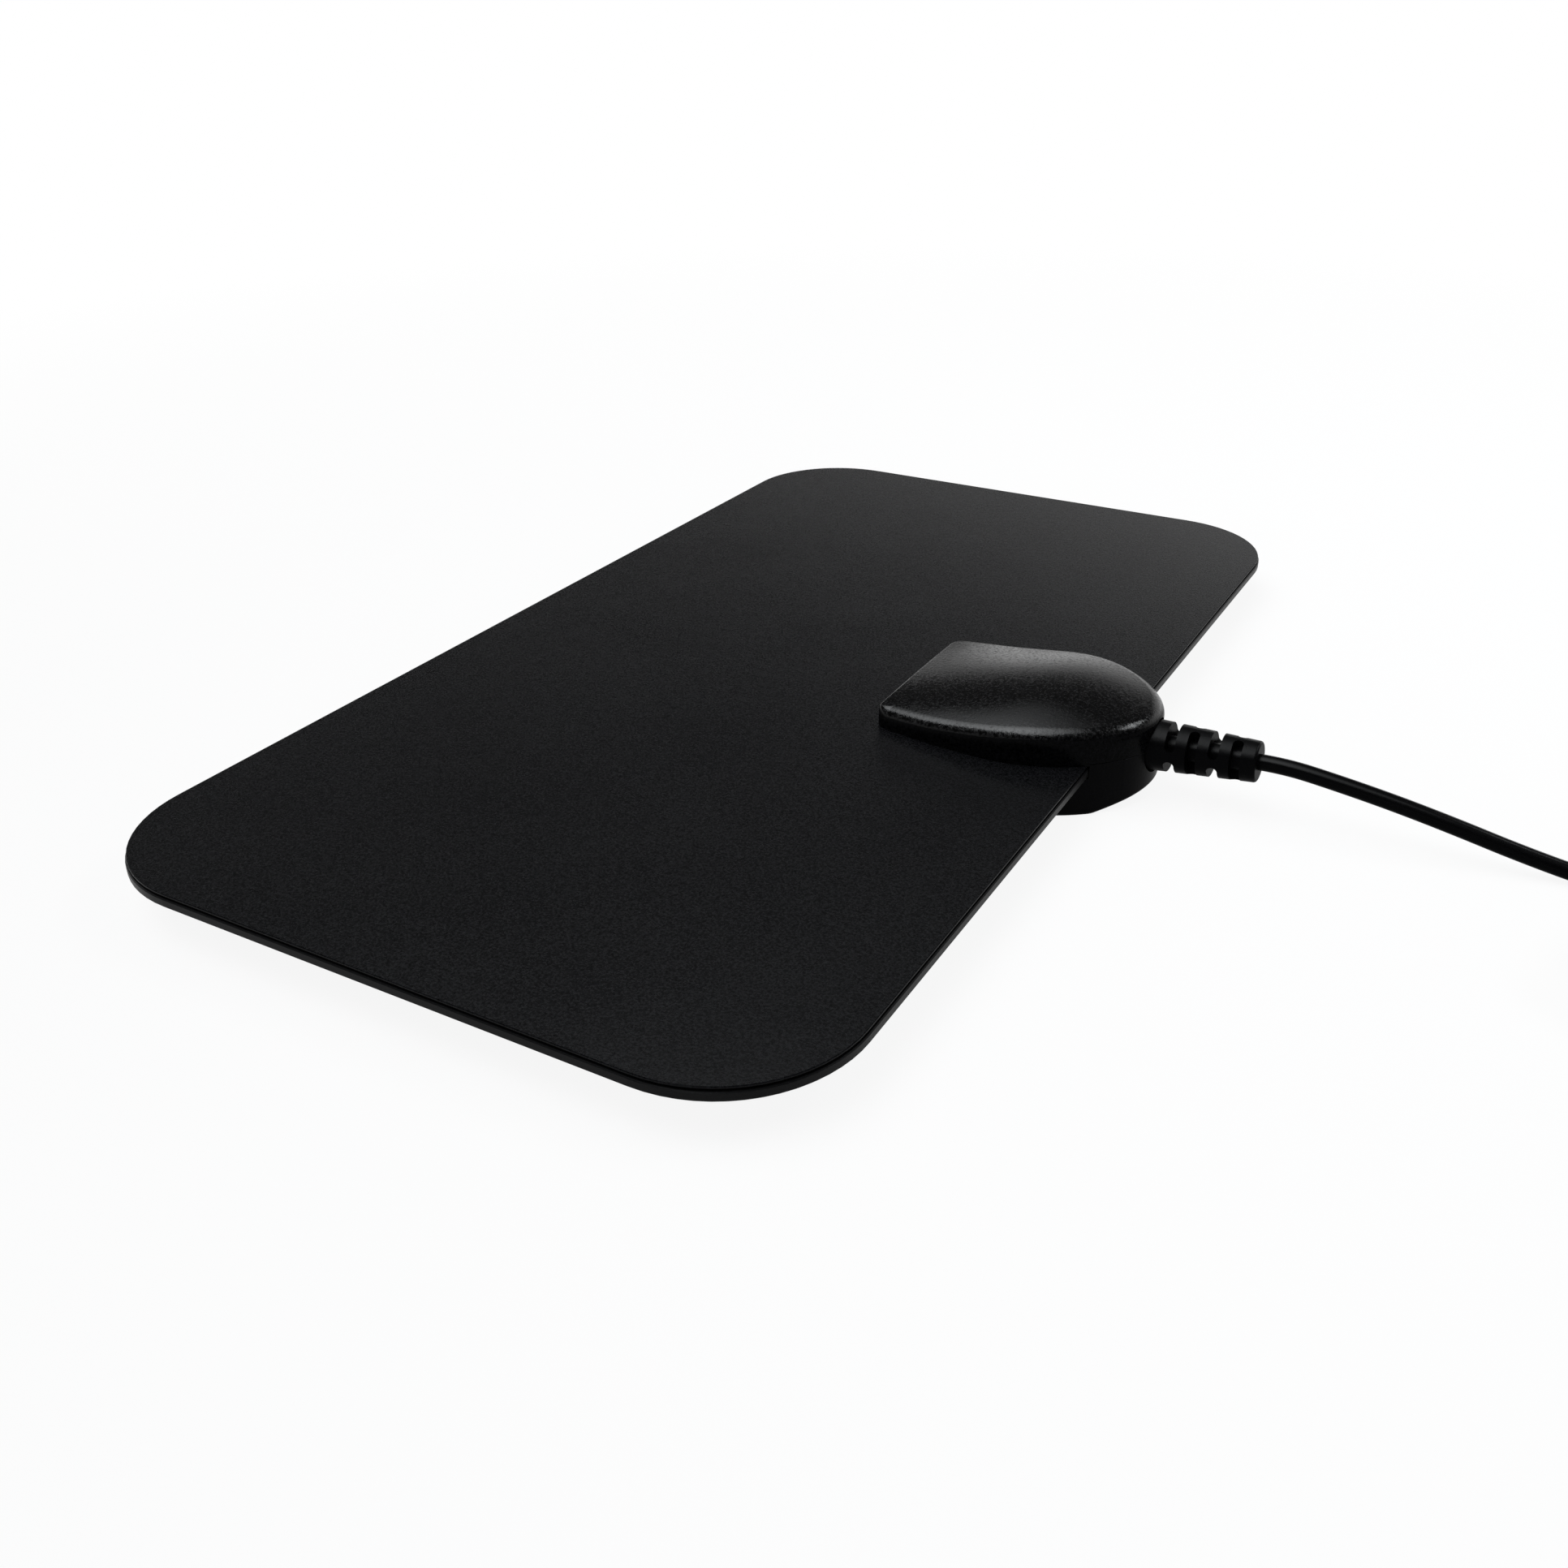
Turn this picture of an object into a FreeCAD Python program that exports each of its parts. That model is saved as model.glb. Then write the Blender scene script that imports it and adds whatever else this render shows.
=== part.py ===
"""Flat indoor TV antenna.

A thin rectangular panel holds two foil elements between a front and a back cover. A domed
two-part housing grips the middle of one long edge and holds the matching board. The coax cord
leaves the housing through a slotted strain relief and ends in a push-on aerial plug.

Millimetres, +Z up, +Y along the panel's long edges, +X towards the cord. The origin lies on the
housing's flat base, below the middle of the panel's edge.
"""

import FreeCAD
import Part
import math
import os

V = FreeCAD.Vector

# Panel
panel_length = 332.0
panel_width = 180.0
panel_corner_radius = 31.5
panel_face_height = 13.6
panel_thickness = 3.5
front_cover_thickness = 1.0
back_floor_thickness = 1.2
panel_rim_width = 3.0
cover_step = 0.35
cover_edge_chamfer = 0.15
seam_groove_height = 0.55
seam_groove_depth = 0.8
back_edge_chamfer = 0.6
rim_edge_chamfer = 0.25
rib_pitch = 42.0
rib_width = 1.2

# Film and foil elements
film_thickness = 0.25
film_clearance = 0.5
foil_thickness = 0.1
foil_margin = 12.0
foil_gap = 7.0
foil_throat = 16.0
foil_fillet = 8.0

# Housing outline
housing_inner_reach = 54.5
housing_nose_reach = 10.8
housing_width = 56.0
housing_end_width = 48.6
housing_widest_reach = 24.0
housing_nose_radius = 21.0
housing_end_corner = 4.2

# Housing heights and walls
end_height = 4.7
rim_height = 8.2
rim_inset = 8.0
flare_delay = 1.5
crown_rise = 3.4
end_rise = 0.5
top_edge_round = 4.0
end_edge_round = 0.8
crown_stations = 11
seam_lift = 0.5
seam_chamfer = 0.25
base_edge_round = 1.0
base_flat_reach = 0.2
nose_ramp_angle = 19.5
nose_ramp_round = 4.0
housing_wall = 2.0
base_floor = 2.0
panel_fit = 0.2

# Screws and bosses
screw_spacing = 36.0
screw_end_inset = 10.5
screw_edge_inset = 9.0
screw_radius = 1.2
screw_clearance = 0.2
screw_head_radius = 2.3
screw_head_height = 1.7
screw_head_chamfer = 0.5
screw_seat_height = 4.2
screw_engagement = 4.0
thread_clearance = 0.05
drive_slot_width = 0.6
drive_slot_depth = 0.9
drive_slot_reach = 1.4
boss_radius = 3.2
head_clearance = 0.3

# Matching board and what is on it
board_thickness = 1.2
board_length = 38.0
board_edge_inset = 6.0
board_clearance = 0.8
board_corner = 1.5
post_radius = 1.2
post_inset = 4.0
balun_length = 6.0
balun_width = 7.4
balun_height = 4.2
balun_hole_radius = 0.9
balun_hole_spacing = 3.2
wire_radius = 0.35
wire_overhang = 2.2
chip_size = (2.0, 1.25, 0.8)
chip_pitch = 4.5
chip_count = 4
contact_spacing = 17.0
contact_length = 5.0
contact_width = 3.0
contact_sheet = 0.25
window_clearance = 0.5

# Strain relief
relief_length = 26.2
relief_tilt = 3.4
relief_drop = 0.9
relief_base_radius = 6.4
relief_end_radius = 5.0
relief_end_round = 0.7
relief_core_radius = 2.8
relief_neck_radius = 4.6
relief_flange_radius = 5.8
relief_flange = 1.8
relief_recess = 1.6
relief_recess_gap = 0.45
relief_wall = 2.6
relief_pad_margin = 1.4
slot_count = 4
slot_width = 2.5
slot_pitch = 5.15
slot_first = 5.9
slot_web_angle = 10.0
slot_overrun = 1.0

# Coax cord
cord_diameter = 4.0
cord_core_radius = 0.9
cord_braid_radius = 0.5
cord_strip_length = 1.0
cord_arc_share = 0.45
cord_exit_run = 6.2

# Stored coil
coil_centre = V(141.0, -27.0, 0.0)
coil_mean_radius = 23.0
coil_ring_width = 15.8
coil_ring_height = 16.4
coil_ring_chamfer = 1.6
tie_thickness = 0.8
tie_angle = 20.0
tie_place_angle = 200.0

# Aerial plug
plug_rear = V(170.0, -72.0, 6.4)
plug_grip_radius = 6.4
plug_grip_length = 20.0
plug_neck_length = 11.0
plug_neck_radius = 3.2
plug_shoulder = 2.5
plug_groove_depth = 0.5
plug_groove_width = 1.6
plug_groove_count = 4
plug_edge_chamfer = 0.6
sleeve_radius = 4.75
sleeve_wall = 0.6
sleeve_reach = 9.5
sleeve_seat = 6.0
sleeve_collar = 0.6
insulator_thickness = 4.0
pin_radius = 1.2
pin_seat = 2.0
pin_setback = 0.4
pin_tip_round = 0.8

# Derived levels
seam_height = panel_face_height + seam_lift
panel_back_height = panel_face_height - panel_thickness
cover_joint_height = panel_face_height - front_cover_thickness
back_floor_height = panel_back_height + back_floor_thickness
foil_bottom = cover_joint_height - foil_thickness
film_bottom = foil_bottom - film_thickness
board_top = panel_face_height + board_thickness

# Derived places
half_width = housing_width / 2
half_end = housing_end_width / 2
nose_centre_x = housing_nose_reach - housing_nose_radius
screw_inner_x = -housing_inner_reach + screw_end_inset
screw_places = [
    V(x, side * screw_spacing / 2, 0)
    for x in (screw_inner_x, -screw_edge_inset)
    for side in (-1, 1)
]
hole_radius = screw_radius + screw_clearance
board_half_width = screw_spacing / 2 - boss_radius - board_clearance
board_outer_x = -board_edge_inset
board_inner_x = board_outer_x - board_length
contact_x = (board_inner_x + board_outer_x) / 2
relief_seat_x = housing_nose_reach - relief_recess
relief_origin = V(relief_seat_x, 0, seam_height - relief_drop)
relief_axis = V(math.cos(math.radians(relief_tilt)), 0, math.sin(math.radians(relief_tilt)))
relief_end_point = relief_origin + relief_axis * relief_length
cord_radius = cord_diameter / 2
coil_top = tie_thickness + coil_ring_height

# Route of the cord, from the strain relief to the coil and from the coil to the plug
lead_route = [
    relief_end_point,
    relief_end_point + relief_axis * cord_exit_run,
    V(52.5, 0.3, 13.8),
    V(66.0, 1.0, 11.6),
    V(79.5, 1.8, 8.8),
    V(94.0, 3.2, 5.1),
    V(108.5, 4.4, 2.2),
    V(121.0, 4.0, 2.0),
    V(130.2, 2.0, 2.8),
]
tail_route = [
    V(169.9, -37.8, 14.6),
    V(170.3, -48.0, 12.4),
    V(170.0, -60.0, 6.4),
    plug_rear,
]


def side_arc_radius():
    """Radius of the gentle side from the straight end to the widest place."""
    reach = housing_inner_reach - housing_widest_reach
    drop = half_width - half_end
    return (reach ** 2 + drop ** 2) / (2 * drop)


def shoulder_radius():
    """Radius of the shoulder that is tangent to the side and to the nose."""
    reach = nose_centre_x + housing_widest_reach
    rise = half_width - housing_nose_radius
    return (reach ** 2 + half_width ** 2 - housing_nose_radius ** 2) / (2 * rise)


def arc_about(centre, radius, start, end):
    """Arc in the base plane, from one angle to another in radians."""
    def at(angle):
        return centre + V(radius * math.cos(angle), radius * math.sin(angle), 0)
    return Part.Arc(at(start), at((start + end) / 2), at(end)).toShape()


def mirrored(edge):
    """The same edge on the other side of the housing's middle plane."""
    return edge.mirror(V(0, 0, 0), V(0, 1, 0))


def housing_outline():
    """Closed outline of the housing in plan: straight end, gentle sides and a round nose."""
    side_radius = side_arc_radius()
    side_centre = V(-housing_widest_reach, half_width - side_radius, 0)
    round_radius = shoulder_radius()
    round_centre = V(-housing_widest_reach, half_width - round_radius, 0)
    nose_centre = V(nose_centre_x, 0, 0)

    corner_x = -housing_inner_reach + housing_end_corner
    corner_run = corner_x - side_centre.x
    corner_y = side_centre.y + math.sqrt((side_radius - housing_end_corner) ** 2 - corner_run ** 2)
    corner_centre = V(corner_x, corner_y, 0)
    corner_angle = math.atan2(corner_y - side_centre.y, corner_run)
    nose_angle = math.atan2(-round_centre.y, nose_centre_x - round_centre.x)

    upper = [
        arc_about(corner_centre, housing_end_corner, math.pi, corner_angle),
        arc_about(side_centre, side_radius, corner_angle, math.pi / 2),
        arc_about(round_centre, round_radius, math.pi / 2, nose_angle),
    ]
    nose = arc_about(nose_centre, housing_nose_radius, nose_angle, -nose_angle)
    end_x = -housing_inner_reach
    end = Part.makeLine(V(end_x, -corner_y, 0), V(end_x, corner_y, 0))
    edges = [end, nose] + upper + [mirrored(edge) for edge in upper]
    return Part.Wire(Part.__sortEdges__(edges))


def prism(wire, low, high):
    """Solid between two heights over a flat wire in the base plane."""
    face = Part.Face(wire)
    face.translate(V(0, 0, low))
    return face.extrude(V(0, 0, high - low))


def inset(wire, distance):
    """The wire moved inwards by a distance."""
    return wire.makeOffset2D(-distance) if distance else wire


def box_between(low, high):
    """Box from its lowest to its highest corner."""
    size = high - low
    return Part.makeBox(size.x, size.y, size.z, low)


def upright(place, radius, low, high):
    """Vertical cylinder between two heights at a place in plan."""
    return Part.makeCylinder(radius, high - low, V(place.x, place.y, low))


def fuse_all(shapes):
    """One solid from several that touch or overlap."""
    return shapes[0].multiFuse(shapes[1:]).removeSplitter()


def edges_at_height(shape, height):
    """Edges of a shape that lie flat at one height."""
    tolerance = 1e-4
    return [
        edge for edge in shape.Edges
        if abs(edge.BoundBox.ZMin - height) < tolerance
        and abs(edge.BoundBox.ZMax - height) < tolerance
    ]


def rounded_rectangle(low, high, radius):
    """Closed wire of a rectangle in plan with round corners."""
    corners = [V(low.x, low.y), V(high.x, low.y), V(high.x, high.y), V(low.x, high.y)]
    flat = Part.makePolygon(corners + corners[:1])
    solid = Part.Face(flat).extrude(V(0, 0, 1))
    posts = [edge for edge in solid.Edges if abs(edge.BoundBox.ZLength - 1) < 1e-6]
    rounded = solid.makeFillet(radius, posts)
    bottom = min(rounded.Faces, key=lambda face: face.CenterOfMass.z)
    return bottom.OuterWire


def panel_outline():
    """Outline of the panel in plan, with its edge at x = 0."""
    low = V(-panel_width, -panel_length / 2, 0)
    high = V(0, panel_length / 2, 0)
    return rounded_rectangle(low, high, panel_corner_radius)


def screw_holes(radius, low, high):
    """Four cylinders on the housing's screw axes."""
    return [upright(place, radius, low, high) for place in screw_places]


def contact_windows(grow, low, high):
    """Two upright blocks over the foil's feed points."""
    blocks = []
    for side in (-1, 1):
        centre_y = side * contact_spacing / 2
        reach = V(contact_length / 2 + grow, contact_width / 2 + grow, 0)
        centre = V(contact_x, centre_y, 0)
        blocks.append(box_between(centre - reach + V(0, 0, low), centre + reach + V(0, 0, high)))
    return blocks


def front_cover():
    """Flat front plate, set back from the rim by a step and a shadow groove."""
    outline = panel_outline()
    groove_top = cover_joint_height + seam_groove_height
    plate = prism(inset(outline, cover_step), groove_top, panel_face_height)
    plate = plate.makeChamfer(cover_edge_chamfer, edges_at_height(plate, panel_face_height))
    spigot = prism(inset(outline, cover_step + seam_groove_depth), cover_joint_height, groove_top)
    cover = fuse_all([plate, spigot])
    cuts = screw_holes(hole_radius, cover_joint_height, panel_face_height)
    cuts += contact_windows(window_clearance, cover_joint_height, panel_face_height)
    return cover.cut(cuts)


def back_cover():
    """Tray with a solid rim, a grid of low ribs and a collar round each screw."""
    outline = panel_outline()
    tray = prism(outline, panel_back_height, cover_joint_height)
    tray = tray.makeChamfer(back_edge_chamfer, edges_at_height(tray, panel_back_height))
    tray = tray.makeChamfer(rim_edge_chamfer, edges_at_height(tray, cover_joint_height))
    pocket = prism(inset(outline, panel_rim_width), back_floor_height, cover_joint_height)
    ribs = pocket.common(Part.makeCompound(rib_grid()))
    collars = screw_holes(boss_radius, back_floor_height, cover_joint_height)
    cover = fuse_all([tray.cut(pocket), *ribs.Solids, *collars])
    return cover.cut(screw_holes(hole_radius, panel_back_height, cover_joint_height))


def rib_grid():
    """Low crossing ribs that carry the film, evenly spaced over the panel."""
    bars = []
    across = max(1, int(panel_width // rib_pitch))
    along = max(1, int(panel_length // rib_pitch))
    for index in range(across):
        x = -panel_width * (index + 0.5) / across
        bars.append(box_between(V(x - rib_width / 2, -panel_length / 2, back_floor_height),
                                V(x + rib_width / 2, panel_length / 2, film_bottom)))
    for index in range(along):
        y = panel_length * ((index + 0.5) / along - 0.5)
        bars.append(box_between(V(-panel_width, y - rib_width / 2, back_floor_height),
                                V(0, y + rib_width / 2, film_bottom)))
    return [bars[0].multiFuse(bars[1:])]


def antenna_film():
    """Carrier sheet on the ribs, with a hole round each collar."""
    sheet = prism(inset(panel_outline(), panel_rim_width + film_clearance), film_bottom, foil_bottom)
    return sheet.cut(screw_holes(boss_radius + film_clearance, film_bottom, foil_bottom))


def foil_elements():
    """Two foil fans that widen from the feed points to the panel's ends."""
    fans = []
    end_y = panel_length / 2 - foil_margin
    shoulder_y = panel_length / 2 - panel_corner_radius - foil_margin
    far_x = -panel_width + foil_margin
    near_x = -foil_margin
    throat_far = contact_x - foil_throat / 2
    throat_near = contact_x + foil_throat / 2
    throat_y = foil_gap / 2 + contact_spacing
    for side in (-1, 1):
        corners = [
            V(throat_far, side * foil_gap / 2, 0),
            V(throat_near, side * foil_gap / 2, 0),
            V(throat_near, side * throat_y, 0),
            V(near_x, side * shoulder_y, 0),
            V(near_x, side * end_y, 0),
            V(far_x, side * end_y, 0),
            V(far_x, side * shoulder_y, 0),
            V(throat_far, side * throat_y, 0),
        ]
        fan = prism(Part.makePolygon(corners + corners[:1]), foil_bottom, cover_joint_height)
        outer = [edge for edge in fan.Edges if edge.BoundBox.ZLength > foil_thickness / 2
                 and abs(edge.CenterOfMass.y) > throat_y + foil_fillet]
        fans.append(fan.makeFillet(foil_fillet, outer))
    holes = screw_holes(boss_radius + film_clearance, foil_bottom, cover_joint_height)
    return Part.makeCompound([fan.cut(holes).Solids[0] for fan in fans])


def eased(distance, reach):
    """Share of the way over a reach, from 0 to 1, with a soft start and a soft end."""
    part = min(max(distance / reach, 0.0), 1.0)
    return part * part * (3 - 2 * part)


def swelling(distance, reach):
    """Share of the way over a reach, up to 1, with a full start and a soft end."""
    return math.sin(math.pi / 2 * min(distance / reach, 1.0))


def crown_heights(x):
    """Heights of the housing's top above the panel's face, at the side and in the middle.

    The sides flare up slowly from the thin straight end. The crown swells from that end at once, is
    full at the widest place, and from there falls as an even dome to the rim at the nose.
    """
    flare = eased(x + housing_inner_reach, housing_inner_reach - rim_inset) ** flare_delay
    side = end_height + (rim_height - end_height) * flare
    fullness = swelling(x + housing_inner_reach, housing_inner_reach - housing_widest_reach)
    crown = end_rise + (crown_rise - end_rise) * fullness
    beyond = max(x + housing_widest_reach, 0.0) / (housing_nose_reach + housing_widest_reach)
    side -= crown_rise * beyond * beyond
    return side, side + crown


def crown_block(drop):
    """Solid under the housing's domed top, lofted through arched sections along the housing."""
    reach = half_width + housing_wall
    start = -housing_inner_reach - housing_wall
    span = housing_nose_reach + housing_wall - start
    foot = panel_face_height - drop - housing_wall
    sections = []
    for index in range(crown_stations):
        x = start + span * index / (crown_stations - 1)
        side, middle = crown_heights(x)
        fall = (middle - side) * (reach / half_width) ** 2
        top = panel_face_height + middle - drop
        left = V(x, -reach, top - fall)
        right = V(x, reach, top - fall)
        arch = Part.Arc(left, V(x, 0, top), right).toShape()
        low_left = V(x, -reach, foot)
        low_right = V(x, reach, foot)
        sections.append(Part.Wire([
            arch,
            Part.makeLine(right, low_right),
            Part.makeLine(low_right, low_left),
            Part.makeLine(low_left, left),
        ]))
    return Part.makeLoft(sections, True, False)


def keel_block(lift):
    """Block over the underside's profile, raised by a lift: flat, then a ramp up to the nose."""
    angle = math.radians(nose_ramp_angle)
    half = angle / 2
    start = V(-2 * housing_inner_reach, -housing_width, lift)
    bend = V(base_flat_reach, -housing_width, lift)
    def on_bend(turn):
        rise = nose_ramp_round * (1 - math.cos(turn))
        return bend + V(nose_ramp_round * math.sin(turn), 0, rise)
    run = 2 * housing_nose_reach
    ramp_end = on_bend(angle) + V(run, 0, run * math.tan(angle))
    top_end = V(ramp_end.x, ramp_end.y, 2 * seam_height)
    top_start = V(start.x, start.y, 2 * seam_height)
    profile = Part.Wire([
        Part.makeLine(start, bend),
        Part.Arc(bend, on_bend(half), on_bend(angle)).toShape(),
        Part.makeLine(on_bend(angle), ramp_end),
        Part.makeLine(ramp_end, top_end),
        Part.makeLine(top_end, top_start),
        Part.makeLine(top_start, start),
    ])
    return Part.Face(profile).extrude(V(0, 2 * housing_width, 0))


def relief_cavity():
    """What the two shells leave free for the strain relief: a recess and the neck's hole."""
    axis = V(1, 0, 0)
    seat = relief_origin
    recess = Part.makeCylinder(relief_base_radius + relief_recess_gap, relief_recess * 2, seat, axis)
    neck = Part.makeCylinder(relief_neck_radius, relief_wall, seat - V(relief_wall, 0, 0), axis)
    return recess.fuse(neck)


def relief_pad(low, high):
    """Thicker wall behind the recess, between two heights."""
    reach = relief_base_radius + relief_recess_gap + relief_pad_margin
    return box_between(V(relief_seat_x - relief_wall, -reach, low),
                       V(housing_nose_reach, reach, high))


def nose_side(low, high):
    """Everything beyond the panel's edge, between two heights."""
    reach = housing_width
    return box_between(V(panel_fit, -reach, low), V(housing_nose_reach * 2, reach, high))


def rim_round(place):
    """Radius of the housing's top edge at a place: small at the straight end, full at the widest."""
    reach = housing_inner_reach - housing_widest_reach
    return end_edge_round + (top_edge_round - end_edge_round) * eased(place.x + housing_inner_reach, reach)


def rounded_rim(body, lip):
    """The body with every edge above a height rounded by the rim's changing radius."""
    rounds = []
    for number, edge in enumerate(body.Edges, 1):
        if edge.BoundBox.ZMin > lip:
            stations = (edge.FirstParameter, edge.LastParameter)
            ends = [rim_round(edge.valueAt(station)) for station in stations]
            if edge.Orientation == "Reversed":
                ends.reverse()
            rounds.append((number, *ends))
    document = FreeCAD.newDocument("rim")
    base = document.addObject("Part::Feature", "base")
    base.Shape = body
    fillet = document.addObject("Part::Fillet", "fillet")
    fillet.Base = base
    fillet.Edges = rounds
    document.recompute()
    rounded = fillet.Shape.Solids[0].copy()
    FreeCAD.closeDocument(document.Name)
    return rounded


def upper_shell():
    """Domed half on the panel's face, hollow, with screw bosses and posts that hold the board."""
    outline = housing_outline()
    top = panel_face_height + rim_height + crown_rise + housing_wall
    body = prism(outline, panel_face_height, top).common(crown_block(0)).Solids[0]
    body = rounded_rim(body, panel_face_height + end_height / 2)
    body = body.cut(nose_side(panel_face_height, seam_height))

    hollow = prism(inset(outline, housing_wall), panel_face_height, top).common(crown_block(housing_wall))
    posts = screw_holes(boss_radius, panel_face_height, top)
    posts += [upright(place, post_radius, board_top, top) for place in post_places()]
    posts.append(relief_pad(seam_height, top))
    shell = body.cut(hollow.cut(posts))
    pilot_top = panel_face_height + screw_engagement + screw_clearance
    pilots = screw_holes(screw_radius + thread_clearance, panel_face_height, pilot_top)
    return shell.cut([*pilots, relief_cavity()])


def post_places():
    """Four places near the board's corners."""
    y = board_half_width - post_inset
    return [V(x, side * y, 0)
            for x in (board_inner_x + post_inset, board_outer_x - post_inset)
            for side in (-1, 1)]


def lower_shell():
    """Flat-bottomed half that takes the panel's edge in a step, with counterbored screw bosses."""
    outline = housing_outline()
    body = prism(outline, 0, seam_height).common(keel_block(0))
    body = body.makeFillet(base_edge_round, edges_at_height(body, 0)[:1])
    body = body.makeChamfer(seam_chamfer, edges_at_height(body, seam_height))
    reach = housing_width
    step = box_between(V(-2 * housing_inner_reach, -reach, panel_back_height),
                       V(panel_fit, reach, 2 * seam_height))
    body = body.cut(step)

    hollow = prism(inset(outline, housing_wall), 0, 2 * seam_height).common(keel_block(base_floor))
    posts = screw_holes(boss_radius, 0, panel_back_height)
    posts.append(relief_pad(0, seam_height))
    shell = body.cut(hollow.cut(posts))
    cuts = screw_holes(screw_head_radius + head_clearance, 0, screw_seat_height)
    cuts += screw_holes(hole_radius, 0, panel_back_height)
    return shell.cut([*cuts, relief_cavity()])


def housing_screws():
    """Four screws with cross slots, heads down in the lower shell's counterbores."""
    screws = []
    head_low = screw_seat_height - screw_head_height
    for place in screw_places:
        head = upright(place, screw_head_radius, head_low, screw_seat_height)
        head = head.makeChamfer(screw_head_chamfer, edges_at_height(head, head_low))
        shank = upright(place, screw_radius, screw_seat_height, panel_face_height + screw_engagement)
        screw = head.fuse(shank).removeSplitter()
        arm = drive_slot_reach
        half = drive_slot_width / 2
        low = V(place.x, place.y, head_low)
        depth = V(0, 0, drive_slot_depth)
        slots = [box_between(low - V(arm, half, 0), low + V(arm, half, 0) + depth),
                 box_between(low - V(half, arm, 0), low + V(half, arm, 0) + depth)]
        screws.append(screw.cut(slots))
    return Part.makeCompound(screws)


def matching_board():
    """Board on the panel's face, with its cord end towards the nose."""
    wire = rounded_rectangle(V(board_inner_x, -board_half_width, 0),
                             V(board_outer_x, board_half_width, 0), board_corner)
    return prism(wire, panel_face_height, board_top)


def balun_place():
    """Middle of the balun's foot on the board."""
    return V(board_outer_x - board_length / 3, 0, board_top)


def balun_core():
    """Twin-hole ferrite block lying on the board, with its holes along X."""
    foot = balun_place()
    end = balun_height / 2
    straight = balun_width / 2 - end
    low = foot - V(balun_length / 2, straight, 0)
    block = box_between(low, low + V(balun_length, 2 * straight, balun_height))
    axis = V(1, 0, 0)
    start = foot + V(-balun_length / 2, 0, end)
    ends = [Part.makeCylinder(end, balun_length, start + V(0, side * straight, 0), axis)
            for side in (-1, 1)]
    holes = [Part.makeCylinder(balun_hole_radius, balun_length,
                               start + V(0, side * balun_hole_spacing / 2, 0), axis)
             for side in (-1, 1)]
    return fuse_all([block, *ends]).cut(holes)


def balun_winding():
    """Wire loop through both holes, with its two ends bent down to the board."""
    foot = balun_place()
    height = balun_height / 2 - balun_hole_radius + wire_radius
    half = balun_hole_spacing / 2
    near = balun_length / 2 + wire_overhang
    bend = wire_overhang / 2
    back = -balun_length / 2
    def at(x, y, z):
        return foot + V(x, y, z)
    def leg(side):
        corner = V(near - bend, side * half, height)
        middle = math.sqrt(0.5) * bend
        return [
            Part.makeLine(at(back, side * half, height), foot + corner),
            Part.Arc(foot + corner, foot + corner + V(middle, 0, middle - bend),
                     foot + corner + V(bend, 0, -bend)).toShape(),
            Part.makeLine(foot + corner + V(bend, 0, -bend), at(near, side * half, 0)),
        ]
    turn = Part.Arc(at(back, -half, height), at(back - half, 0, height), at(back, half, height))
    path = Part.Wire(Part.__sortEdges__([*leg(-1), turn.toShape(), *leg(1)]))
    start = at(near, -half, 0)
    section = Part.Wire(Part.makeCircle(wire_radius, start, V(0, 0, 1)))
    return path.makePipeShell([section], True, True)


def board_chips():
    """A row of small capacitors on the board's inner half."""
    size = V(*chip_size)
    first = balun_place() - V(board_length / 3, 0, 0)
    chips = []
    for index in range(chip_count):
        y = (index - (chip_count - 1) / 2) * chip_pitch
        low = first + V(-size.x / 2, y - size.y / 2, 0)
        chips.append(box_between(low, low + size))
    return Part.makeCompound(chips)


def contact_springs():
    """Two bent strips that reach from the board down to the foil's feed points."""
    third = contact_length / 3
    high = panel_face_height
    low = cover_joint_height
    sheet = contact_sheet
    springs = []
    for side in (-1, 1):
        start = V(contact_x - contact_length / 2, side * contact_spacing / 2 - contact_width / 2, 0)
        outline = [
            (0, high), (third, high), (2 * third, low + sheet), (3 * third, low + sheet),
            (3 * third, low), (2 * third - sheet, low), (third - sheet, high - sheet), (0, high - sheet),
        ]
        points = [start + V(x, 0, z) for x, z in outline]
        face = Part.Face(Part.makePolygon(points + points[:1]))
        springs.append(face.extrude(V(0, contact_width, 0)))
    return Part.makeCompound(springs)


def relief_slot(station, turn):
    """Two slots part of the way round the relief at one station, with round ends."""
    axis = V(1, 0, 0)
    outer = relief_base_radius + slot_overrun
    low = V(station - slot_width / 2, 0, relief_core_radius)
    high = V(station + slot_width / 2, 0, outer)
    section = Part.Face(Part.makePolygon([
        low, V(high.x, 0, low.z), high, V(low.x, 0, high.z), low,
    ]))
    end_angle = math.degrees(math.asin(slot_width / 2 / relief_end_radius))
    half_sweep = 90 - slot_web_angle - end_angle
    cuts = []
    for side in (0, 180):
        sector = section.copy()
        sector.rotate(V(0, 0, 0), axis, turn + side - half_sweep)
        cuts.append(sector.revolve(V(0, 0, 0), axis, 2 * half_sweep))
        for end in (-half_sweep, half_sweep):
            drill = Part.makeCylinder(slot_width / 2, outer - relief_core_radius,
                                      V(station, 0, relief_core_radius), V(0, 0, 1))
            drill.rotate(V(0, 0, 0), axis, turn + side + end)
            cuts.append(drill)
    return cuts


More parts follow.
